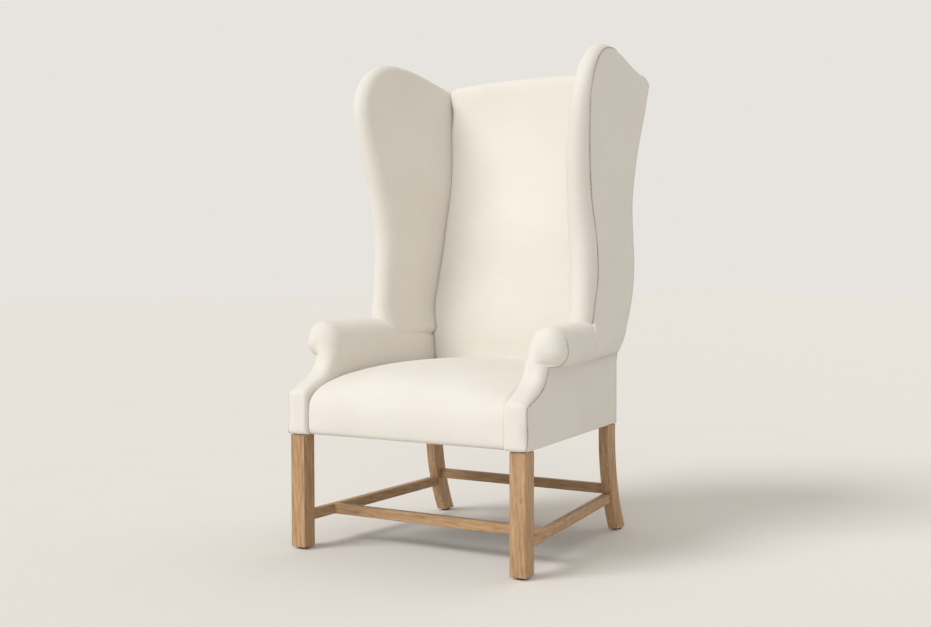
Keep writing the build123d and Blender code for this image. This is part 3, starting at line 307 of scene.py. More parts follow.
# Stage: lamps by direction from the chair, spread in degrees, strength and tint
LAMPS = {
    "key_light": ((-1.7, -2.7, 3.1), 28.0, 1.62, (1.0, 0.985, 0.965)),
    "fill_light": ((0.9, -3.2, 1.9), 60.0, 0.56, (1.0, 0.985, 0.965)),
    "back_light": ((0.8, 3.0, 2.4), 60.0, 0.45, (1.0, 0.98, 0.95)),
}
AMBIENT_TINT = (1.0, 0.930, 0.835, 1.0)
AMBIENT_STRENGTH = 0.46
BACKGROUND = (0.800, 0.775, 0.735, 1.0)
FLOOR_RADIUS = 30.0
FLOOR_SIDES = 96
FLOOR_SHADE = 0.97
FLOOR_ROUGHNESS = 0.85
FLOOR_CLOUDS = 2.5

# Camera, fitted to the lines of the legs and stretchers
CAMERA_PLACE = (1.71598, -2.93284, 0.72850)
CAMERA_AZIMUTH = radians(31.015)
CAMERA_ELEVATION = radians(2.055)
CAMERA_ROLL = radians(-0.149)
CAMERA_LENS = 48.46
CAMERA_SENSOR = 36.0


def length(label, about, value):
    """A length that a user may change."""
    return bpy.props.FloatProperty(
        name=label, description=about, default=value, min=0.0, unit="LENGTH", precision=4)


def colour(label, about, value):
    """A colour that a user may change."""
    return bpy.props.FloatVectorProperty(
        name=label, description=about, default=value, size=3, min=0.0, max=1.0, subtype="COLOR")


class ChairSizes(bpy.types.PropertyGroup):
    """Sizes of the soft work."""
    seat_edge: length("Seat edge", "Rounding of the seat into its side creases", 0.018)
    back_edge: length("Back edge", "Rounding of the inside back into its side creases", 0.016)
    tuck: length("Tuck", "How far the cloth runs down into a crease", 0.012)
    front_edge: length("Arm front edge", "Rounding of an arm front at the seat side", 0.008)
    welt: length("Welt", "Thickness of the welts", 0.0036)
    cloth: length("Cloth", "Thickness of the linen with its lining", 0.0015)
    pucker: length("Pucker", "Depth of the small gathers beside a welt", 0.0005)
    swell: length("Swell", "How far a cover may swell as it settles over its padding", 0.004)
    dust_sag: length("Dust cover sag", "How far the dust cover hangs in its middle", 0.006)


class ChairFinish(bpy.types.PropertyGroup):
    """Colours of the finishes."""
    linen: colour("Linen", "Ivory linen", (0.815, 0.793, 0.750))
    linen_slub: colour("Linen slub", "Darker yarns in the linen", (0.715, 0.685, 0.625))
    # Seam colour: a dark tone mixed into the welts' linen as painted shade of the creases beside the welts
    seam: colour("Seam", "Shaded stitching along the welts", (0.215, 0.180, 0.140))
    oak: colour("Oak", "Oak between the grain lines", (0.570, 0.372, 0.212))
    oak_grain: colour("Oak grain", "Grain lines and pores of the oak", (0.300, 0.165, 0.080))
    floor: colour("Floor", "Plain pale floor", (0.800, 0.790, 0.770))


# Lines and surfaces
def smooth_at(table, at):
    """Smooth values of a table of places and values, at the places asked for."""
    table = np.asarray(table, float)
    place, value = table[:, 0], table[:, 1]
    slope = np.gradient(value, place)
    at = np.clip(at, place[0], place[-1])
    k = np.clip(np.searchsorted(place, at, side="right") - 1, 0, len(place) - 2)
    step = place[k + 1] - place[k]
    t = (at - place[k]) / step
    rise = t * t * (3 - 2 * t)
    start = value[k] * (1 - rise) + t * (1 - t) ** 2 * step * slope[k]
    return start + value[k + 1] * rise + t * t * (t - 1) * step * slope[k + 1]


def run_length(line):
    """Length along a line at each of its points."""
    return np.concatenate([[0], np.cumsum(np.linalg.norm(np.diff(line, axis=0), axis=1))])


def smooth_line(points, count):
    """Evenly spaced points along a smooth line through the given ones."""
    points = np.asarray(points, float)
    chord = np.concatenate([[0], np.cumsum(np.sqrt(np.linalg.norm(np.diff(points, axis=0), axis=1)))])
    fine = np.linspace(0, chord[-1], FINE_STEPS * len(points))
    line = np.stack([smooth_at(np.stack([chord, axis], 1), fine) for axis in points.T], 1)
    run = run_length(line)
    return np.stack([np.interp(np.linspace(0, 1, count) * run[-1], run, axis) for axis in line.T], 1)


def inward(line):
    """Unit normals of a line of depths and heights, pointing into the chair for a line that runs upwards."""
    tangent = np.gradient(line, axis=0)
    normal = np.stack([tangent[..., 1], -tangent[..., 0]], -1)
    return normal / np.maximum(np.linalg.norm(normal, axis=-1, keepdims=True), TINY)


def distance_to(line, points):
    """Distance of points to a line, both as depth and height, in the shape of the points."""
    flat = points.reshape(-1, 2)
    nearest = np.full(len(flat), np.inf)
    for start, span in zip(line[:-1], np.diff(line, axis=0)):
        t = np.clip(((flat - start) @ span) / (span @ span), 0, 1)
        nearest = np.minimum(nearest, np.linalg.norm(flat - start - t[:, None] * span, axis=1))
    return nearest.reshape(points.shape[:-1])


def ease(value, low, high):
    """A share from 0 to 1 with soft ends, as a value goes from low to high."""
    share = np.clip((value - low) / (high - low), 0, 1)
    return share * share * (3 - 2 * share)


def rounded(edge, width):
    """A quarter round, from 0 at an edge to 1 at its width and beyond."""
    return np.sqrt(np.maximum(1 - (1 - np.minimum(edge / width, 1)) ** 2, 0))


def ripple(run, pitch):
    """Uneven small gathers along a seam, from 0 to 1."""
    wander = GATHER_SWING * np.sin(2 * pi * run / (GATHER_REPEAT * pitch))
    return (1 + np.sin(2 * pi * run / pitch + wander)) / 2


def outside_x(depth):
    """Half width over the outside panels."""
    return HALF_FRONT - SIDE_TAPER * depth


def inside_x(depth):
    """Half width between the arms."""
    return INNER_FRONT - INNER_TAPER * depth


def rear_depth(height):
    """Depth of the outside back."""
    return BODY_DEPTH + LEAN * np.maximum(height - LEAN_START, 0)


def roll_foot(depth):
    """Height of the crease under the arm's roll."""
    return ROLL_FOOT + ROLL_LIFT * np.clip((depth - ROLL_LIFT_START) / (BODY_DEPTH - ROLL_LIFT_START), 0, 1)


def roll_at(depth):
    """Middle and size of the arm's roll, whose section is an egg lying on its side."""
    share = np.clip((depth - ROLL_PLAIN_END) / (BODY_DEPTH - ROLL_PLAIN_END), 0, 1)
    radius = ROLL_RADIUS + share * (ROLL_REAR_RADIUS - ROLL_RADIUS)
    x = outside_x(depth) - ROLL_SET - share * (ROLL_REAR_SET - ROLL_SET) + ROLL_SHIFT * radius
    return x, roll_foot(depth) + ROLL_DOWN * radius, radius


def roll_point(depth, turn, sunk=0.0):
    """Half width and height of a point round the arm's roll."""
    x, z, radius = roll_at(depth)
    wide = np.where(np.cos(turn) > 0, ROLL_OUT, ROLL_IN) * radius - sunk
    raised = ROLL_FRONT_RISE * (1 - ease(depth, SCROLL_DEPTH, SCROLL_DEPTH + ROLL_FRONT_RUN))
    tall = np.where(np.sin(turn) > 0, ROLL_UP * radius, ROLL_DOWN * radius - raised) - sunk
    return x + wide * np.cos(turn), z + tall * np.sin(turn)


def arm_inner(depth, height):
    """Half width of an arm's inner side, which leans out into the roll."""
    x, z, radius = roll_at(depth)
    base = inside_x(np.clip(depth, 0, SEAT_DEPTH)) + ARM_GAP
    wall = base + ease(height, ARM_BEND, z) * (x - ROLL_IN * radius - base)
    over = np.clip((height - z) / (ROLL_UP * radius), 0, 1)
    return np.where(height > z, x - ROLL_IN * radius * np.sqrt(1 - over ** 2), wall)


def arm_outer(depth, height):
    """Half width over an arm's outside panel, which flares out a little under the front of the roll."""
    flare = ARM_FLARE * ease(height, *ARM_FLARE_RISE)
    return outside_x(depth) + flare * np.clip(1 - depth / BODY_DEPTH, 0, 1)


def wing_outer(depth, height, front_table=WING_OUTER_FRONT):
    """Half width over the wings."""
    share = np.clip((depth - WING_MIDDLE_DEPTH) / (rear_depth(height) - WING_MIDDLE_DEPTH), 0, 1)
    front = smooth_at(front_table, height)
    return outside_x(depth) - front - share * (smooth_at(WING_OUTER_REAR, height) - front)


def wing_inner(depth, height):
    """Half width between the wings."""
    return outside_x(depth) - smooth_at(WING_INNER, height)


def panel_outer(depth, height):
    """Half width over the outside wing panel, which runs down over the rear of the arm's roll."""
    joined = PANEL_FRONT[-1][0]
    low = wing_outer(depth, np.minimum(height, joined), PANEL_FRONT)
    return np.where(height < joined, low, wing_outer(depth, height))


def wing_round(depth, height):
    """Rounding of a wing's outer edge: half the wing's thickness, less towards the rear."""
    return (wing_outer(depth, height) - wing_inner(depth, height)) / 2 * smooth_at(WING_ROUND, depth)


def wing_faces(depth, height, edge, width):
    """Half widths of a wing's outer and inner faces, at distances inside an edge rounded over a width."""
    outer, inner = wing_outer(depth, height), wing_inner(depth, height)
    side = wing_round(depth, height)
    ridge = outer - side
    return ridge + side * rounded(edge, width), ridge - (ridge - inner) * rounded(edge, (outer - inner) / 2)


def edge_fall(depth, height, edge):
    """How far the outside of a wing falls towards its edge, round the curve of the top alone."""
    face = wing_faces(depth, height, edge, wing_round(depth, height))[0]
    return np.where(height > WING_CURVE_CENTRE[1], wing_outer(depth, height) - face, 0)


def wing_outline(count):
    """The wing's edge, from its foot up the front and over the top to the rear."""
    (depth, height), radius = WING_CURVE_CENTRE, WING_CURVE_RADIUS
    turns = np.linspace(pi, pi / 2, WING_CURVE_STEPS)
    curve = [(depth + radius * cos(turn), height + radius * sin(turn)) for turn in turns]
    return smooth_line(WING_FRONT_EDGE + curve + WING_TOP_EDGE, count)


def wing_rear_line(count, foot):
    """The rear edge of a wing, from its foot to its top corner."""
    height = np.linspace(foot, WING_REAR_TOP, count)
    return np.stack([rear_depth(height) - REAR_GAP, height], 1)


def welt_inset(outline):
    """How far inside a wing's edge its welt runs."""
    over = outline[:, 0] > WING_CURVE_CENTRE[0]
    return np.where(over, smooth_at(WELT_TOP, outline[:, 0]), smooth_at(WELT_RISE, outline[:, 1]))


def wing_welt(count):
    """Line of the welt on the outside of a wing, as depth and height."""
    outline = wing_outline(count)
    return outline + inward(outline) * welt_inset(outline)[:, None]


def fan_columns(line, rear, counts, nose):
    """Grid of depths and heights between a wing's edge line and its rear line, finer at the edge."""
    edge_count, flat_count = counts
    near = 1 - np.cos(np.linspace(0, pi / 2, edge_count))
    span = np.linalg.norm(rear - line, axis=1)
    near_run = near * np.minimum(nose, span * FAN_LIMIT)[:, None]
    far = np.linspace(0, 1, flat_count + 1)[1:]
    far_run = near_run[:, -1:] + far * (span[:, None] - near_run[:, -1:])
    run = np.concatenate([near_run, far_run], 1) / np.maximum(span, TINY)[:, None]
    return line[:, None, :] + run[..., None] * (rear - line)[:, None, :]


def arm_front_rows():
    """Rows up an arm's front: the path, half widths of its edges, and how far the scroll has grown."""
    swept = smooth_line(FACING_PATH, FACING_ROWS)
    turn = np.linspace(SCROLL_START, pi / 2, SCROLL_ROWS)[1:]
    edge_x, edge_z = roll_point(SCROLL_DEPTH, turn)
    rise = np.maximum(edge_z, swept[-1, 1] + SCROLL_ROW_GAP * np.arange(1, len(turn) + 1))
    path = np.concatenate([swept, np.stack([smooth_at(SCROLL_FACE, rise), rise], 1)])
    low = np.concatenate([inside_x(swept[:, 0]), arm_inner(SCROLL_DEPTH, rise)])
    high = np.concatenate([arm_outer(*swept.T) - PANEL_STAND, edge_x])
    low[-1] = high[-1]
    grow = np.concatenate([np.zeros(len(swept)), ease(turn, SCROLL_START, SCROLL_FULL)])
    return path, low, high, grow


def edge_growth(inner_table, outer_table, rise, share, grow):
    """Growth of an arm front's rounding: by height at the seat side, round the scroll at the outer."""
    inner = smooth_at(inner_table, rise)
    neck = smooth_at(outer_table, np.minimum(rise, FACING_NECK))
    outer = neck + grow[:, None] * (outer_table[-1][1] - neck)
    return inner + ease(share, *EDGE_CHANGE) * (outer - inner)


def arm_front_edge(x, rise, low, high):
    """Distance of an arm front's points to its outline: all round the scroll, to either side below it."""
    scroll = rise[:, 0] > SCROLL_BASE
    sides = [np.stack([side, rise[:, 0]], 1)[scroll] for side in (low, high)]
    outline = np.concatenate([sides[0], sides[1][::-1]])
    apart = np.linalg.norm(np.diff(outline, axis=0), axis=1) > TINY
    edge = distance_to(outline[np.r_[True, apart]], np.stack(np.broadcast_arrays(x, rise), -1))
    return np.where(scroll[:, None], edge, np.minimum(x - low[:, None], high[:, None] - x))


def arm_front_face(edge_round, pucker):
    """Points of an arm's front: rounded edges up the sweep, a domed scroll, and walls that run back."""
    path, low, high, grow = arm_front_rows()
    centre_x, centre_z, _ = roll_at(SCROLL_DEPTH)
    normal = inward(path)
    rise = path[:, 1:]
    share = (1 - np.cos(np.linspace(0, pi, FACING_COLUMNS)))[None, :] / 2
    x = low[:, None] + share * (high - low)[:, None]
    edge = arm_front_edge(x, rise, low, high)
    deep = edge_round + edge_growth(EDGE_DEEP, EDGE_DEEP, rise, share, grow)
    wide = edge_round + edge_growth(EDGE_WIDE_INNER, EDGE_WIDE_OUTER, rise, share, grow)
    scroll = ease(rise, FACING_NECK, SCROLL_DOME)
    drop = deep * (1 - rounded(edge, wide)) - FACING_CROWN * (1 - (2 * share - 1) ** 2) * (1 - scroll)
    around = np.arctan2(rise - centre_z, x - centre_x) * ROLL_RADIUS
    near = np.exp(-((edge - SCROLL_GATHER_INSET) / SCROLL_GATHER_INSET) ** 2)
    drop = drop + pucker * SCROLL_GATHER * ripple(around, SCROLL_GATHER_PITCH) * scroll * near
    depth = path[:, :1] + normal[:, :1] * drop
    height = rise + normal[:, 1:] * drop
    run = np.linspace(0, 1, FACING_WALL + 1)[None, 1:]
    walls = []
    for column, over, taper in ((0, rise > centre_z, INNER_TAPER), (-1, rise > FACING_NECK, SIDE_TAPER)):
        aside = np.stack([centre_x - x[:, column], np.where(over, centre_z - rise, 0)[:, 0]], 1)
        aside = aside / np.maximum(np.linalg.norm(aside, axis=1, keepdims=True), TINY)
        start = depth[:, column, None]
        back = start + run * np.maximum(FACING_END - start, FACING_WALL_LEAST)
        walls.append((x[:, column, None] - taper * (back - start) + FACING_TUCK * run * aside[:, :1], back,
                      height[:, column, None] + FACING_TUCK * run * aside[:, 1:]))
    inner, outer = walls
    return [np.concatenate([a[:, ::-1], b, c], 1) for a, b, c in zip(inner, (x, depth, height), outer)]


def front_seam(edge_round):
    """Outer seam of an arm front, without its gathers: half widths, depths and heights."""
    return [axis[:, FACING_EDGE] for axis in arm_front_face(edge_round, 0.0)]


# Making pieces
def only(piece):
    """Select one piece alone."""
    bpy.ops.object.select_all(action="DESELECT")
    piece.select_set(True)
    bpy.context.view_layer.objects.active = piece


def coordinates(piece):
    """The places of a piece's points."""
    flat = np.zeros(len(piece.data.vertices) * 3)
    piece.data.vertices.foreach_get("co", flat)
    return flat.reshape(-1, 3)


def place_points(piece, points):
    """Draw a piece's points to their places."""
    piece.data.vertices.foreach_set("co", points.ravel())
    piece.data.update()


def in_frame(x, depth, height, side=1):
    """Points of the frame from half widths, depths and heights."""
    x, depth, height = np.broadcast_arrays(x, depth, height)
    return np.stack([side * x, FRONT + depth, height], -1)


def laid_grid(name, points):
    """A grid whose points are drawn to their places: one row of points for each row of the grid."""
    rows, columns = points.shape[:2]
    bpy.ops.object.select_all(action="DESELECT")
    bpy.ops.mesh.primitive_grid_add(x_subdivisions=columns - 1, y_subdivisions=rows - 1, size=2)
    piece = bpy.context.active_object
    piece.name = piece.data.name = name
    flat = coordinates(piece)
    column = np.rint((flat[:, 0] + 1) / 2 * (columns - 1)).astype(int)
    row = np.rint((flat[:, 1] + 1) / 2 * (rows - 1)).astype(int)
    place_points(piece, points[row, column])
    return piece


def tidy_mesh(piece, fill):
    """Merge doubles, close the open edge where asked, and turn the faces outwards."""
    only(piece)
    bpy.ops.object.mode_set(mode="EDIT")
    bpy.ops.mesh.select_mode(type="VERT")
    bpy.ops.mesh.select_all(action="SELECT")
    bpy.ops.mesh.remove_doubles(threshold=MERGE)
    if fill:
        bpy.ops.mesh.fill_holes(sides=0)
        bpy.ops.mesh.select_all(action="SELECT")
    bpy.ops.mesh.normals_make_consistent(inside=False)
    bpy.ops.object.mode_set(mode="OBJECT")
    bpy.ops.object.shade_smooth()


def face_out(piece, direction):
    """Turn a sheet's faces so that most of them look the way given."""
    normals = np.array([p.normal * p.area for p in piece.data.polygons])
    if (normals.sum(0) @ np.asarray(direction)) < 0:
        only(piece)
        bpy.ops.object.mode_set(mode="EDIT")
        bpy.ops.mesh.select_all(action="SELECT")
        bpy.ops.mesh.flip_normals()
        bpy.ops.object.mode_set(mode="OBJECT")


def sewn_edges(rows, columns):
    """Indices of a laid grid's points that lie near its open edge."""
    row, column = np.divmod(np.arange(rows * columns), columns)
    near = np.minimum(np.minimum(row, rows - 1 - row), np.minimum(column, columns - 1 - column))
    return np.flatnonzero(near < SEWN_MARGIN).tolist()


def settle(piece, held, most):
    """Let a cover swell over its padding as cloth, its sewn edges held, and keep the shape it comes to."""
    only(piece)
    before = coordinates(piece)
    sewn = piece.vertex_groups.new(name="sewn")
    sewn.add(held, 1.0, "REPLACE")
    cloth = piece.modifiers.new("Settle", "CLOTH")
    for key, value in SETTLE.items():
        setattr(cloth.settings, key, value)
    cloth.settings.vertex_group_mass = sewn.name
    cloth.settings.effector_weights.gravity = 0.0
    cloth.collision_settings.use_collision = False
    cloth.point_cache.frame_end = SETTLE_FRAMES
    for step in range(1, SETTLE_FRAMES + 1):
        bpy.context.scene.frame_set(step)
    bpy.ops.object.modifier_apply(modifier=cloth.name)
    bpy.context.scene.frame_set(1)
    piece.vertex_groups.clear()
    moved = coordinates(piece) - before
    far = np.maximum(np.linalg.norm(moved, axis=1, keepdims=True), TINY)
    place_points(piece, before + moved * most * np.tanh(far / most) / far)


def dress(piece, material, slot, *nodes):
    """Finish a piece: its material, its body and the nodes it stands for. Its slot is not used."""
    piece.data.materials.clear()
    piece.data.materials.append(material)
    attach(piece, "root")
    if nodes:
        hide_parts(*nodes)


def pad(name, points, nodes, outward=None):
    """A padded linen piece from its grid of points. Where its outward side is given, it settles first."""
    piece = laid_grid(name, points)
    if outward:
        face_out(piece, outward)
        settle(piece, sewn_edges(*points.shape[:2]), bpy.context.scene.chair_sizes.swell)
    tidy_mesh(piece, fill=True)
    dress(piece, linen(), "linen", *nodes)


def pad_pair(label, cover, x, depth, height):
    """A padded piece on either side of the chair, which stands for a cover and its foam."""
    for name, side in SIDES.items():
        pad(f"{label}_{name}", in_frame(x, depth, height, side),
            (f"{cover}_cover_{name}", f"{cover}_foam_{name}"))


def stretched_sheet(name, points, outward, thickness, material, slot, node):
    """A sheet of cloth from its grid of points, thickened inwards, and its flat area."""
    piece = laid_grid(name, points)
    face_out(piece, outward)
    area = sum(p.area for p in piece.data.polygons)
    only(piece)
    layer = piece.modifiers.new("Thickness", "SOLIDIFY")
    layer.thickness = thickness
    layer.offset = -1.0
    bpy.ops.object.modifier_apply(modifier=layer.name)
    tidy_mesh(piece, fill=False)
    dress(piece, material, slot, node)
    return piece, area


def welt_along(name, line, radius):
    """A welt: a thin cord sewn along a line of points."""
    curve = bpy.data.curves.new(name, "CURVE")
    curve.dimensions = "3D"
    curve.bevel_depth = radius
    curve.bevel_resolution = WELT_ROUNDNESS
    curve.use_fill_caps = True
    spline = curve.splines.new("POLY")
    spline.points.add(len(line) - 1)
    spline.points.foreach_set("co", np.concatenate([line, np.ones((len(line), 1))], 1).ravel())
    welt = bpy.data.objects.new(name, curve)
    bpy.context.scene.collection.objects.link(welt)
    only(welt)
    bpy.ops.object.convert(target="MESH")
    welt = bpy.context.active_object
    tidy_mesh(welt, fill=True)
    return welt


def finish_nodes(nodes, name, make, *values, **more):
    """Give CAD nodes a finish."""
    for node in nodes:
        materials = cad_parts[node].data.materials
        materials.clear()
        materials.append(finish(name, make, *values, **more))


# Materials
class Nodes:
    """A material's node tree, with short ways to add and join nodes."""
    MIX_COLOURS = (6, 7)
    MIX_RESULT = 2

    def __init__(self, name):
        self.material = bpy.data.materials.new(name)
        self.material.use_nodes = True
        self.tree = self.material.node_tree

    def put(self, value, socket):
        """Set a socket to a number or a colour, or join another socket to it."""
        if isinstance(value, bpy.types.NodeSocket):
            self.tree.links.new(value, socket)
        else:
            socket.default_value = value

    def fill(self, node, values):
        """Set a node's options, and set or join its sockets."""
        for key, value in values.items():
            if hasattr(node, key):
                setattr(node, key, value)
            else:
                self.put(value, node.inputs[key.replace("_", " ")])

    def add(self, kind, **values):
        """The outputs of a new node."""
        node = self.tree.nodes.new(kind)
        self.fill(node, values)
        return node.outputs

    def shade(self, **values):
        """The material, once its shader's sockets are set or joined."""
        self.fill(self.tree.nodes["Principled BSDF"], values)
        return self.material

    def stretched(self, scale=(1.0, 1.0, 1.0)):
        """Object coordinates, stretched."""
        place = self.add("ShaderNodeTexCoord")["Object"]
        return self.add("ShaderNodeMapping", Vector=place, Scale=scale)["Vector"]

    def noise(self, vector, scale, detail, rough=0.5, wavy=0.0):
        return self.add("ShaderNodeTexNoise", Vector=vector, Scale=scale, Detail=detail, Roughness=rough,
                        Distortion=wavy)["Fac"]

    def maths(self, operation, *values):
        out = self.add("ShaderNodeMath", operation=operation)[0]
        for value, socket in zip(values, out.node.inputs):
            self.put(value, socket)
        return out

    def remap(self, value, span, to):
        """A value spread from one span to another."""
        return self.add("ShaderNodeMapRange", Value=value, From_Min=span[0], From_Max=span[1],
                        To_Min=to[0], To_Max=to[1])["Result"]

    def blend(self, share, first, second):
        """A colour between two."""
        out = self.add("ShaderNodeMix", data_type="RGBA", Factor=share)[self.MIX_RESULT]
        for index, tone in zip(self.MIX_COLOURS, (first, second)):
            out.node.inputs[index].default_value = (*tone, 1.0)
        return out

    def bump(self, height, strength, distance):
        return self.add("ShaderNodeBump", Height=height, Strength=strength, Distance=distance)["Normal"]


def woven(name, light, dark, thread, slub_share, bump):
    """Plain woven cloth: crossing threads, uneven yarns and a little sheen."""
    cloth = Nodes(name)
    along_yarn, across_yarn = 28.0, 620.0
    slub_span, cloud_span, weave_span = (0.55, 0.80), (0.35, 0.65), (-3.0, 3.0)
    cloud_share, weave_share, weave_height = 0.4, 0.25, 0.16
    yarn_span, rough_span = (0.4, 0.8), (0.94, 0.84)
    fine = cloth.stretched()
    axes = cloth.add("ShaderNodeSeparateXYZ", Vector=fine)
    waves = [cloth.maths("SINE", cloth.maths("MULTIPLY", axis, 2 * pi / thread)) for axis in axes]
    weave = cloth.maths("ADD", cloth.maths("ADD", waves[0], waves[1]), waves[2])
    weft = cloth.noise(cloth.stretched((along_yarn, along_yarn, across_yarn)), scale=1.0, detail=3.0)
    warp = cloth.noise(cloth.stretched((across_yarn, across_yarn, along_yarn)), scale=1.0, detail=3.0)
    yarn = cloth.maths("MAXIMUM", weft, warp)
    clouds = cloth.noise(fine, scale=7.0, detail=2.0)
    uneven = cloth.maths("ADD", cloth.remap(yarn, slub_span, (0.0, slub_share)),
                         cloth.remap(clouds, cloud_span, (0.0, slub_share * cloud_share)))
    share = cloth.maths("ADD", uneven, cloth.remap(weave, weave_span, (slub_share * weave_share, 0.0)))
    height = cloth.maths("ADD", cloth.maths("MULTIPLY", weave, weave_height), yarn)
    return cloth.shade(
        Base_Color=cloth.blend(share, light, dark), Roughness=cloth.remap(yarn, yarn_span, rough_span),
        Sheen_Weight=0.12, Sheen_Roughness=0.5, Specular_IOR_Level=0.25,
        Normal=cloth.bump(height, strength=bump, distance=thread / 2))


def timber(name, light, dark, stretch, roughness):
    """Sawn wood with its grain along the axis that is stretched least."""
    wood = Nodes(name)
    ring_share, figure_share, pore_share, figure_height = 0.20, 0.58, 0.75, 0.3
    pore_across, pore_along = 6.5, 1.6
    pore_span, figure_span, even_span, tone_span = (0.58, 0.70), (0.40, 0.62), (0.3, 0.7), (-0.10, 0.10)
    pore_stretch = [s * (pore_along if s == min(stretch) else pore_across) for s in stretch]
    place = wood.stretched(stretch)
    wander = wood.noise(place, scale=1.6, detail=3.0)
    rings = wood.add("ShaderNodeTexWave", wave_type="BANDS", bands_direction="DIAGONAL", Vector=place,
                     Scale=1.15, Distortion=7.0, Detail=3.0, Detail_Scale=0.8)["Fac"]
    figure = wood.noise(place, scale=4.2, detail=6.0, rough=0.62, wavy=0.9)
    pores = wood.noise(wood.stretched(pore_stretch), scale=3.0, detail=2.0)
    pore = wood.remap(pores, pore_span, (0.0, pore_share))
    grain = wood.maths("ADD", wood.maths("MULTIPLY", rings, ring_share),
                       wood.remap(figure, figure_span, (0.0, figure_share)))
    share = wood.maths("ADD", grain, wood.remap(wander, even_span, tone_span))
    relief = wood.maths("SUBTRACT", wood.maths("MULTIPLY", figure, figure_height), pore)
    return wood.shade(
        Base_Color=wood.blend(wood.maths("MAXIMUM", share, pore), light, dark), Specular_IOR_Level=0.35,
        Roughness=wood.remap(figure, even_span, (roughness - 0.06, roughness + 0.08)),
        Normal=wood.bump(relief, strength=0.35, distance=0.0006))


def speckled(name, light, dark, scale, roughness, metallic=0.0):
    """A hard finish with a fine uneven surface."""
    hard = Nodes(name)
    spot_span, even_span = (0.35, 0.65), (0.3, 0.7)
    spots = hard.noise(hard.stretched(), scale, detail=4.0)
    return hard.shade(
        Base_Color=hard.blend(hard.remap(spots, spot_span, (0.0, 1.0)), light, dark), Metallic=metallic,
        Roughness=hard.remap(spots, even_span, (roughness - 0.05, roughness + 0.08)),
        Normal=hard.bump(spots, strength=0.1, distance=0.0004))


def finish(name, make, *values, **more):
    """A material by name, made once."""
    return bpy.data.materials.get(name) or make(name, *values, **more)


def linen():
    """The cover's ivory linen."""
    tones = bpy.context.scene.chair_finish
    return finish("ivory_linen", woven, tones.linen, tones.linen_slub, LINEN_THREAD,
                  slub_share=0.45, bump=0.22)


def welt_painted_shade():
    """The welts' linen, mixed towards a dark tone as painted shade of the creases along them."""
    tones = bpy.context.scene.chair_finish
    return finish("welt_linen", woven, tones.linen_slub, tones.seam, LINEN_THREAD, slub_share=1.0, bump=0.3)


# Operators
class CHAIR_OT_seat(bpy.types.Operator):
    """Model the tight seat, rolled over its front edge"""
    bl_idname = "chair.seat"
    bl_label = "Seat"

    def execute(self, context):
        sizes = context.scene.chair_sizes
        middle = smooth_line(SEAT_MIDDLE, SEAT_ROWS)
        side = smooth_line(SEAT_SIDE, SEAT_ROWS)
        turn = np.linspace(0, pi / 2, SEAT_EDGE_STEPS)[:-1]
        flat = np.linspace(sizes.seat_edge, INNER_FRONT, SEAT_FLAT_STEPS)
        inset = np.concatenate([[-sizes.tuck], sizes.seat_edge * (1 - np.cos(turn)), flat])
        hand = np.concatenate([-np.ones(len(inset)), np.ones(len(inset) - 1)])
        inset = np.concatenate([inset, inset[-2::-1]])
        inside = np.maximum(inset, 0)
        near = np.minimum(inside, sizes.seat_edge)
        edge_share = smooth_at(SEAT_EDGE_SHARE, middle[:, 1:])
        half = inside_x(np.clip(middle[:, :1], 0, SEAT_DEPTH)) + SEAT_PRESS
        tight = near * edge_share
        reach = tight + (inside - near) / (INNER_FRONT - sizes.seat_edge) * (half - tight)
        x = hand * (half - reach)
        share = np.abs(x / half)[..., None] ** SEAT_CROWN_POWER
        line = middle[:, None, :] * (1 - share) + side[:, None, :] * share
        normal = inward(middle)[:, None, :] * (1 - share) + inward(side)[:, None, :] * share
        fall = sizes.seat_edge * (1 - rounded(inside, sizes.seat_edge)) * edge_share + np.maximum(-inset, 0)
        line = line + normal * fall[..., None]
        pad("seat", in_frame(x, line[..., 0], line[..., 1]), ("seat_cover", "seat_foam"),
            outward=(0, -1, 1))
        return {"FINISHED"}


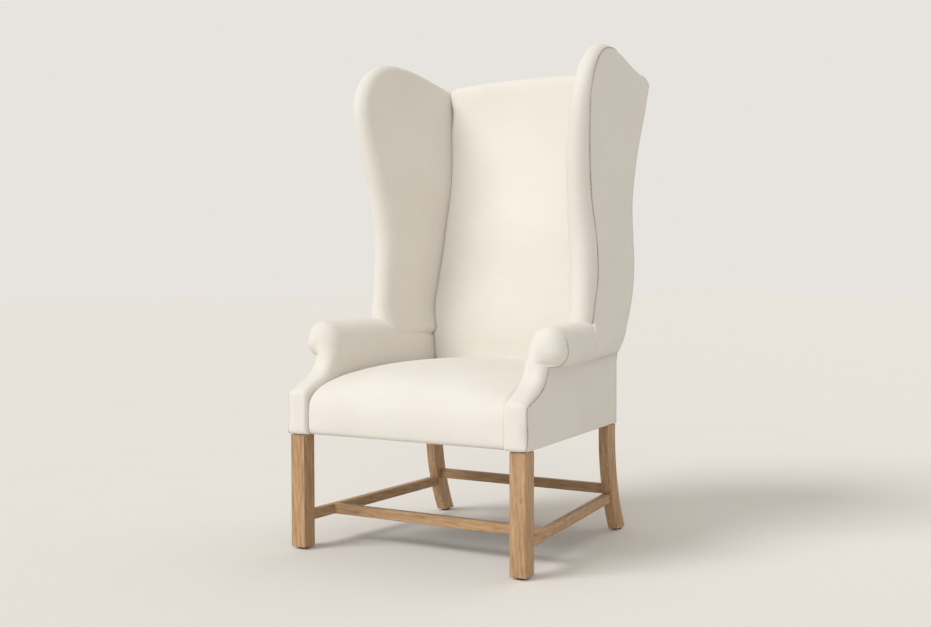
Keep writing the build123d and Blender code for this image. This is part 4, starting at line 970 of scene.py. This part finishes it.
class CHAIR_OT_inside_back(bpy.types.Operator):
    """Model the padded inside back, rounded over its top edge"""
    bl_idname = "chair.inside_back"
    bl_label = "Inside back"

    def execute(self, context):
        sizes = context.scene.chair_sizes
        face = np.linspace(0, 1, BACK_FACE_ROWS)[:, None]
        turn = np.linspace(0, pi / 2, BACK_TOP_ROWS)[1:, None]
        top = np.linspace(0, 1, BACK_TOP_ROWS)[1:, None]
        across = np.concatenate([[-1.0], np.sin(np.linspace(-pi / 2, pi / 2, BACK_COLUMNS)), [1.0]])
        low = BACK_SEAM[0][0]
        crest = smooth_at(BACK_TOP, np.abs(across) * BACK_TOP_HALF)
        height = low + face * (crest - BACK_ROUND - low)
        depth = smooth_at(BACK_SEAM, height) - smooth_at(BACK_CROWN, height) * (1 - across ** 2)
        bend_depth = depth[-1] + BACK_ROUND * (1 - np.cos(turn))
        bend_height = height[-1] + BACK_ROUND * np.sin(turn)
        top_depth = bend_depth[-1] + top * (rear_depth(crest) - BACK_REAR_GAP - bend_depth[-1])
        top_height = crest + BACK_TOP_CROWN * np.sin(pi * top)
        line = np.stack([np.concatenate([depth, bend_depth, top_depth]),
                         np.concatenate([height, bend_height, top_height])], -1)
        seam_height = np.clip(line[..., 1], low, BACK_SEAM_TOP)
        seam_depth = np.minimum(line[..., 0], rear_depth(seam_height))
        wing = wing_inner(seam_depth, np.maximum(seam_height, WING_FOOT))
        half = np.minimum(arm_inner(seam_depth, seam_height), wing) + BACK_PRESS
        half = half + BACK_TOP_TUCK * ease(seam_height, *BACK_TOP_RISE)
        x = across * half
        fall = sizes.back_edge * (1 - rounded(half - np.abs(x), sizes.back_edge))
        fall[:BACK_TUCK_ROWS, [0, -1]] += sizes.tuck
        fall[BACK_TUCK_ROWS:, [0, -1]] += BACK_ROUND - sizes.back_edge - BACK_TUCK_GAP
        line = line + inward(line) * fall[..., None]
        pad("inside_back", in_frame(x, line[..., 0], line[..., 1]),
            ("inside_back_cover", "back_foam"), outward=(0, -1, 0))
        return {"FINISHED"}


class CHAIR_OT_wings(bpy.types.Operator):
    """Model the padded wings with their soft rolled edges"""
    bl_idname = "chair.wings"
    bl_label = "Wings"

    def execute(self, context):
        outline = wing_outline(WING_ROWS)
        sewn = welt_inset(outline)
        width = np.maximum(sewn, wing_round(*outline.T))
        grid = fan_columns(outline, wing_rear_line(WING_ROWS, WING_FOOT), WING_COLUMNS, width)
        depth, height = grid[..., 0], grid[..., 1]
        edge = distance_to(outline, grid)
        outer_x, inner_x = wing_faces(depth, height, edge, width[:, None])
        gather = ripple(run_length(outline), GATHER_PITCH)[:, None]
        inside = edge - sewn[:, None]
        near_welt = np.exp(-(inside / GATHER_REACH) ** 2) * (inside <= 0)
        outer_x = outer_x - context.scene.chair_sizes.pucker * gather * near_welt
        x, depth, height = [np.concatenate([outer[:, ::-1], inner[:, 1:]], 1)
                            for outer, inner in ((outer_x, inner_x), (depth, depth), (height, height))]
        pad_pair("wing", "wing", x, depth, height)
        return {"FINISHED"}


class CHAIR_OT_outside_wings(bpy.types.Operator):
    """Model the stretched outside wing panels, which run down over the rear of the arm rolls"""
    bl_idname = "chair.outside_wings"
    bl_label = "Outside wing panels"

    def execute(self, context):
        welt = wing_welt(PANEL_ROWS)
        upper = welt[welt[:, 1] > PANEL_SEAM_JOIN]
        seam = np.concatenate([PANEL_FOOT, upper[:-PANEL_SEAM_STEP:PANEL_SEAM_STEP], upper[-1:]])
        rear = wing_rear_line(PANEL_ROWS, roll_foot(BODY_DEPTH) + PANEL_FOOT_GAP)
        front = smooth_line(seam, PANEL_ROWS)
        grid = fan_columns(front, rear, PANEL_COLUMNS, np.full(PANEL_ROWS, PANEL_HEM))
        depth, height = grid[..., 0], grid[..., 1]
        edge = distance_to(wing_outline(PANEL_ROWS), grid)
        x = panel_outer(depth, height) - edge_fall(depth, height, edge) + PANEL_STAND
        x[:, 0] -= PANEL_TURN + PANEL_TURN_LOW * ease(height[:, 0], *PANEL_TURN_RISE)
        for name, side in SIDES.items():
            panel, area = stretched_sheet(
                f"outside_wing_{name}", in_frame(x, depth, height, side), (side, 0, 0),
                context.scene.chair_sizes.cloth, linen(), "linen", f"outside_wing_panel_{name}")
        return {"FINISHED"}


class CHAIR_OT_arms(bpy.types.Operator):
    """Model the padded arms with their scroll rolls"""
    bl_idname = "chair.arms"
    bl_label = "Arms"

    def execute(self, context):
        start = SCROLL_DEPTH - ARM_LAP
        rest = np.linspace(start + ARM_NEXT_RUN, ARM_REAR, ARM_ROWS)
        depth = np.concatenate([start + ARM_FIRST_RUNS, rest])[:, None]
        sunk = ARM_SUNK * np.clip(1 - (depth - start) / ARM_FIRST_RUNS[-1], 0, 1) ** 2
        wall = np.linspace(0, 1, ARM_WALL_STEPS)[None, :-1]
        wall_z = ARM_FOOT + wall * (roll_at(depth)[1] - ARM_FOOT)
        wall_x = arm_inner(depth, wall_z) + sunk
        roll_x, roll_z = roll_point(depth, np.linspace(pi, ROLL_END, ROLL_STEPS)[None, :], sunk)
        drop = np.linspace(0, 1, ARM_UNDER_STEPS)[None, 1:]
        end_x, end_z = roll_x[:, -1:], roll_z[:, -1:]
        down_z = end_z + drop * (ARM_FOOT - end_z)
        under_x = end_x + drop * (wall_x[:, :1] - end_x)
        x = np.concatenate([wall_x, roll_x, np.broadcast_to(end_x, down_z.shape), under_x], 1)
        z = np.concatenate([wall_z, roll_z, down_z, np.full(under_x.shape, ARM_FOOT)], 1)
        pad_pair("arm", "arm", x, depth, z)
        return {"FINISHED"}


class CHAIR_OT_arm_fronts(bpy.types.Operator):
    """Model the stepped and swept arm fronts with the domed faces of the scrolls"""
    bl_idname = "chair.arm_fronts"
    bl_label = "Arm fronts"

    def execute(self, context):
        sizes = context.scene.chair_sizes
        pad_pair("arm_front", "arm_facing", *arm_front_face(sizes.front_edge, sizes.pucker))
        return {"FINISHED"}


class CHAIR_OT_outside_arms(bpy.types.Operator):
    """Model the stretched outside arm panels"""
    bl_idname = "chair.outside_arms"
    bl_label = "Outside arm panels"

    def execute(self, context):
        sizes = context.scene.chair_sizes
        height = np.linspace(PANEL_BOTTOM, ROLL_FOOT + ARM_PANEL_TUCK, ARM_PANEL_ROWS)
        rise = np.linspace(0, 1, ARM_PANEL_ROWS)[:, None]
        share = np.linspace(0, 1, ARM_PANEL_COLUMNS)[None, :]
        _, edge_depth, edge_height = front_seam(sizes.front_edge)
        first = int(np.argmin(edge_depth))
        front = np.interp(height, edge_height[first:], edge_depth[first:]) + PANEL_STAND
        depth = front[:, None] + share * (BODY_DEPTH - front)[:, None]
        fullness = (np.sin(pi * share).clip(0) * np.sin(pi * rise).clip(0)) ** ARM_PANEL_FULLNESS
        height = height[:, None] + rise * (roll_foot(depth) - ROLL_FOOT)
        x = arm_outer(depth, height) + ARM_PANEL_BULGE * fullness
        for name, side in SIDES.items():
            panel, area = stretched_sheet(
                f"outside_arm_{name}", in_frame(x, depth, height, side), (side, 0, 0), sizes.cloth, linen(),
                "linen", f"outside_arm_panel_{name}")
        return {"FINISHED"}


class CHAIR_OT_outside_back(bpy.types.Operator):
    """Model the stretched outside back"""
    bl_idname = "chair.outside_back"
    bl_label = "Outside back"

    def execute(self, context):
        rise = np.linspace(0, 1, REAR_ROWS)[:, None]
        across = np.linspace(-1, 1, REAR_COLUMNS)[None, :]
        corner_half, corner_top = BACK_TOP[-1]
        crest = smooth_at(BACK_TOP, np.abs(across) * corner_half)
        height = PANEL_BOTTOM + rise * (crest - PANEL_BOTTOM)
        foot = roll_foot(BODY_DEPTH)
        panel_half = panel_outer(rear_depth(height), np.maximum(height, foot))
        below_corner = np.maximum(corner_top + REAR_STAND - height, 0)
        half = np.where(height < foot, HALF_REAR, panel_half) + REAR_LAP
        half = half - REAR_CORNER * (1 - rounded(below_corner, REAR_CORNER))
        bulge = REAR_BULGE * (1 - across ** 2) * np.sqrt(np.sin(pi * rise).clip(0))
        depth = rear_depth(height) + REAR_STAND + bulge
        back, area = stretched_sheet("outside_back", in_frame(across * half, depth, height), (0, 1, 0),
                                     REAR_CLOTH, linen(), "linen", "outside_back_cover")
        return {"FINISHED"}


class CHAIR_OT_welts(bpy.types.Operator):
    """Sew the welts along the wings, round the scrolls and down the arm fronts"""
    bl_idname = "chair.welts"
    bl_label = "Welts"

    def execute(self, context):
        sizes = context.scene.chair_sizes
        wing = wing_welt(WELT_STEPS)
        wing = wing[wing[:, 1] > WELT_FOOT]
        edge = distance_to(wing_outline(WELT_EDGE_STEPS), wing)
        wing_x = wing_outer(*wing.T) - edge_fall(*wing.T, edge) + WELT_STAND
        x, depth, height = front_seam(sizes.front_edge)
        top = roll_at(SCROLL_DEPTH)[1] + FRONT_WELT_TOP * ROLL_RADIUS
        used = (height < top) & (np.arange(len(height)) > FRONT_WELT_FIRST)
        lines = {"wing_welt": in_frame(wing_x, *wing.T),
                 "front_welt": in_frame(x - WELT_STAND, depth, height)[used]}
        for name, side in SIDES.items():
            for label, line in lines.items():
                welt = welt_along(f"{label}_{name}", line * np.array([side, 1, 1]), sizes.welt / 2)
                # The welts wear linen darkened with painted shade of their creases
                dress(welt, welt_painted_shade(), "linen")
        return {"FINISHED"}


class CHAIR_OT_dust_cover(bpy.types.Operator):
    """Hang the dust cover under the seat frame"""
    bl_idname = "chair.dust_cover"
    bl_label = "Dust cover"

    def execute(self, context):
        low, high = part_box("dust_cover")
        wide, deep = 2 * high.x, high.y - low.y
        across = np.linspace(-1, 1, DUST_STEPS)[None, :]
        share = np.linspace(0, 1, DUST_STEPS)[:, None]
        depth = low.y - FRONT + share * deep
        half = np.minimum(outside_x(depth) - DUST_INSET, high.x)
        sag = context.scene.chair_sizes.dust_sag * (1 - across ** 4) * (1 - (2 * share - 1) ** 4)
        waves = np.sin(DUST_RUCK_TURN * across) * np.sin(DUST_RUCK_WAVES * pi * share)
        ruck = DUST_RUCK * waves * (1 - across ** 2)
        black = finish("black_dust_cloth", woven, *DUST_BLACK, DUST_THREAD, slub_share=0.8, bump=0.4)
        points = in_frame(across * half, depth, high.z - sag + ruck)
        cover, area = stretched_sheet("dust_cover_cloth", points, (0, 0, -1), DUST_CLOTH, black,
                                      "dust_cloth", "dust_cover")
        return {"FINISHED"}


class CHAIR_OT_base(bpy.types.Operator):
    """Finish the oak legs and stretchers, and their glides"""
    bl_idname = "chair.base"
    bl_label = "Oak base"

    def execute(self, context):
        tones = context.scene.chair_finish
        for name, (stretch, nodes) in OAK_GRAIN.items():
            finish_nodes(nodes, name, timber, tones.oak, tones.oak_grain, stretch, roughness=0.52)
        finish_nodes(["glides"], "dark_glide", speckled, *GLIDE_DARK, scale=900.0, roughness=0.55)
        return {"FINISHED"}


class CHAIR_OT_inner_frame(bpy.types.Operator):
    """Finish the hardwood frame, springs, hessian and webbing inside the chair"""
    bl_idname = "chair.inner_frame"
    bl_label = "Inner frame"

    def execute(self, context):
        wood = [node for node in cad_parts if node.startswith(FRAME_WOOD)]
        finish_nodes(wood, "pale_hardwood", timber, *FRAME_PALE, FRAME_GRAIN, roughness=0.6)
        finish_nodes(["seat_springs", "corner_screws"], "spring_steel", speckled, *SPRING_GREY,
                     scale=700.0, roughness=0.35, metallic=1.0)
        finish_nodes(["spring_clips"], "clip_steel", speckled, *CLIP_GREY,
                     scale=800.0, roughness=0.45, metallic=1.0)
        finish_nodes(["seat_hessian"], "brown_hessian", woven, *HESSIAN_BROWN, HESSIAN_THREAD,
                     slub_share=0.8, bump=0.6)
        finish_nodes(["back_webbing"], "jute_webbing", woven, *WEBBING_BROWN, WEBBING_THREAD,
                     slub_share=0.7, bump=0.5)
        return {"FINISHED"}


def pale_floor(scene):
    """A wide plain floor."""
    bpy.ops.object.select_all(action="DESELECT")
    bpy.ops.mesh.primitive_circle_add(vertices=FLOOR_SIDES, radius=FLOOR_RADIUS, fill_type="NGON")
    floor = bpy.context.active_object
    floor.name = "floor"
    pale = Nodes("pale_floor")
    clouds = pale.noise(pale.stretched(), FLOOR_CLOUDS, detail=3.0)
    tone = scene.chair_finish.floor
    shades = pale.blend(clouds, tone, [FLOOR_SHADE * c for c in tone])
    floor.data.materials.append(pale.shade(Base_Color=shades, Roughness=FLOOR_ROUGHNESS))


def far_lamp(name, towards, spread, strength, tint):
    """A far, broad, soft lamp in a direction from the chair."""
    lamp = bpy.data.lights.new(name, "SUN")
    lamp.angle = radians(spread)
    lamp.energy = strength
    lamp.color = tint
    holder = bpy.data.objects.new(name, lamp)
    bpy.context.scene.collection.objects.link(holder)
    holder.location = towards
    holder.rotation_euler = (-Vector(towards)).to_track_quat("-Z", "Y").to_euler()


def studio_world(scene):
    """Soft light from all round, and a plain pale background for the camera and for reflections."""
    world = bpy.data.worlds.new("Studio")
    scene.world = world
    world.use_nodes = True
    nodes, links = world.node_tree.nodes, world.node_tree.links
    path = nodes.new("ShaderNodeLightPath")
    seen = nodes.new("ShaderNodeMath")
    seen.operation = "MAXIMUM"
    links.new(path.outputs["Is Camera Ray"], seen.inputs[0])
    links.new(path.outputs["Is Glossy Ray"], seen.inputs[1])
    ambient = nodes["Background"]
    ambient.inputs["Color"].default_value = AMBIENT_TINT
    ambient.inputs["Strength"].default_value = AMBIENT_STRENGTH
    shown = nodes.new("ShaderNodeBackground")
    shown.inputs["Color"].default_value = BACKGROUND
    mix = nodes.new("ShaderNodeMixShader")
    for out, socket in zip((seen, ambient, shown), mix.inputs):
        links.new(out.outputs[0], socket)
    links.new(mix.outputs[0], nodes["World Output"].inputs["Surface"])


def set_camera(scene):
    """The camera, turned a little off level by its roll."""
    lens = bpy.data.cameras.new("camera")
    lens.sensor_width = CAMERA_SENSOR
    lens.lens = CAMERA_LENS
    camera = bpy.data.objects.new("camera", lens)
    scene.collection.objects.link(camera)
    flat = cos(CAMERA_ELEVATION)
    back = Vector((sin(CAMERA_AZIMUTH) * flat, -cos(CAMERA_AZIMUTH) * flat, sin(CAMERA_ELEVATION)))
    level = Vector((0, 0, 1)).cross(back).normalized()
    upright = back.cross(level)
    right = level * cos(CAMERA_ROLL) + upright * sin(CAMERA_ROLL)
    up = upright * cos(CAMERA_ROLL) - level * sin(CAMERA_ROLL)
    turned = Matrix((right, up, back)).transposed().to_4x4()
    camera.matrix_world = Matrix.Translation(CAMERA_PLACE) @ turned
    scene.camera = camera


class CHAIR_OT_stage(bpy.types.Operator):
    """Set the floor, the soft light and the camera"""
    bl_idname = "chair.stage"
    bl_label = "Stage"

    def execute(self, context):
        pale_floor(context.scene)
        for name, lamp in LAMPS.items():
            far_lamp(name, *lamp)
        studio_world(context.scene)
        context.scene.view_settings.view_transform = "Standard"
        set_camera(context.scene)
        return {"FINISHED"}


PIECES = (CHAIR_OT_seat, CHAIR_OT_inside_back, CHAIR_OT_wings, CHAIR_OT_outside_wings, CHAIR_OT_arms,
          CHAIR_OT_arm_fronts, CHAIR_OT_outside_arms, CHAIR_OT_outside_back, CHAIR_OT_welts,
          CHAIR_OT_dust_cover, CHAIR_OT_base, CHAIR_OT_inner_frame, CHAIR_OT_stage)


class CHAIR_PT_panel(bpy.types.Panel):
    """Sizes, finishes and pieces of the armchair"""
    bl_idname = "CHAIR_PT_panel"
    bl_label = "Wing armchair"
    bl_space_type = "VIEW_3D"
    bl_region_type = "UI"
    bl_category = "Armchair"

    def draw(self, context):
        for group in (context.scene.chair_sizes, context.scene.chair_finish):
            for key in group.__annotations__:
                self.layout.prop(group, key)
        for piece in PIECES:
            self.layout.operator(piece.bl_idname)


CLASSES = (ChairSizes, ChairFinish, *PIECES, CHAIR_PT_panel)


def register():
    for cls in CLASSES:
        bpy.utils.register_class(cls)
    bpy.types.Scene.chair_sizes = bpy.props.PointerProperty(type=ChairSizes)
    bpy.types.Scene.chair_finish = bpy.props.PointerProperty(type=ChairFinish)


def unregister():
    del bpy.types.Scene.chair_sizes
    del bpy.types.Scene.chair_finish
    for cls in reversed(CLASSES):
        bpy.utils.unregister_class(cls)


def main():
    """Build every piece in order."""
    register()
    for piece in PIECES:
        group, name = piece.bl_idname.split(".")
        getattr(getattr(bpy.ops, group), name)()


if __name__ == "__main__":
    main()
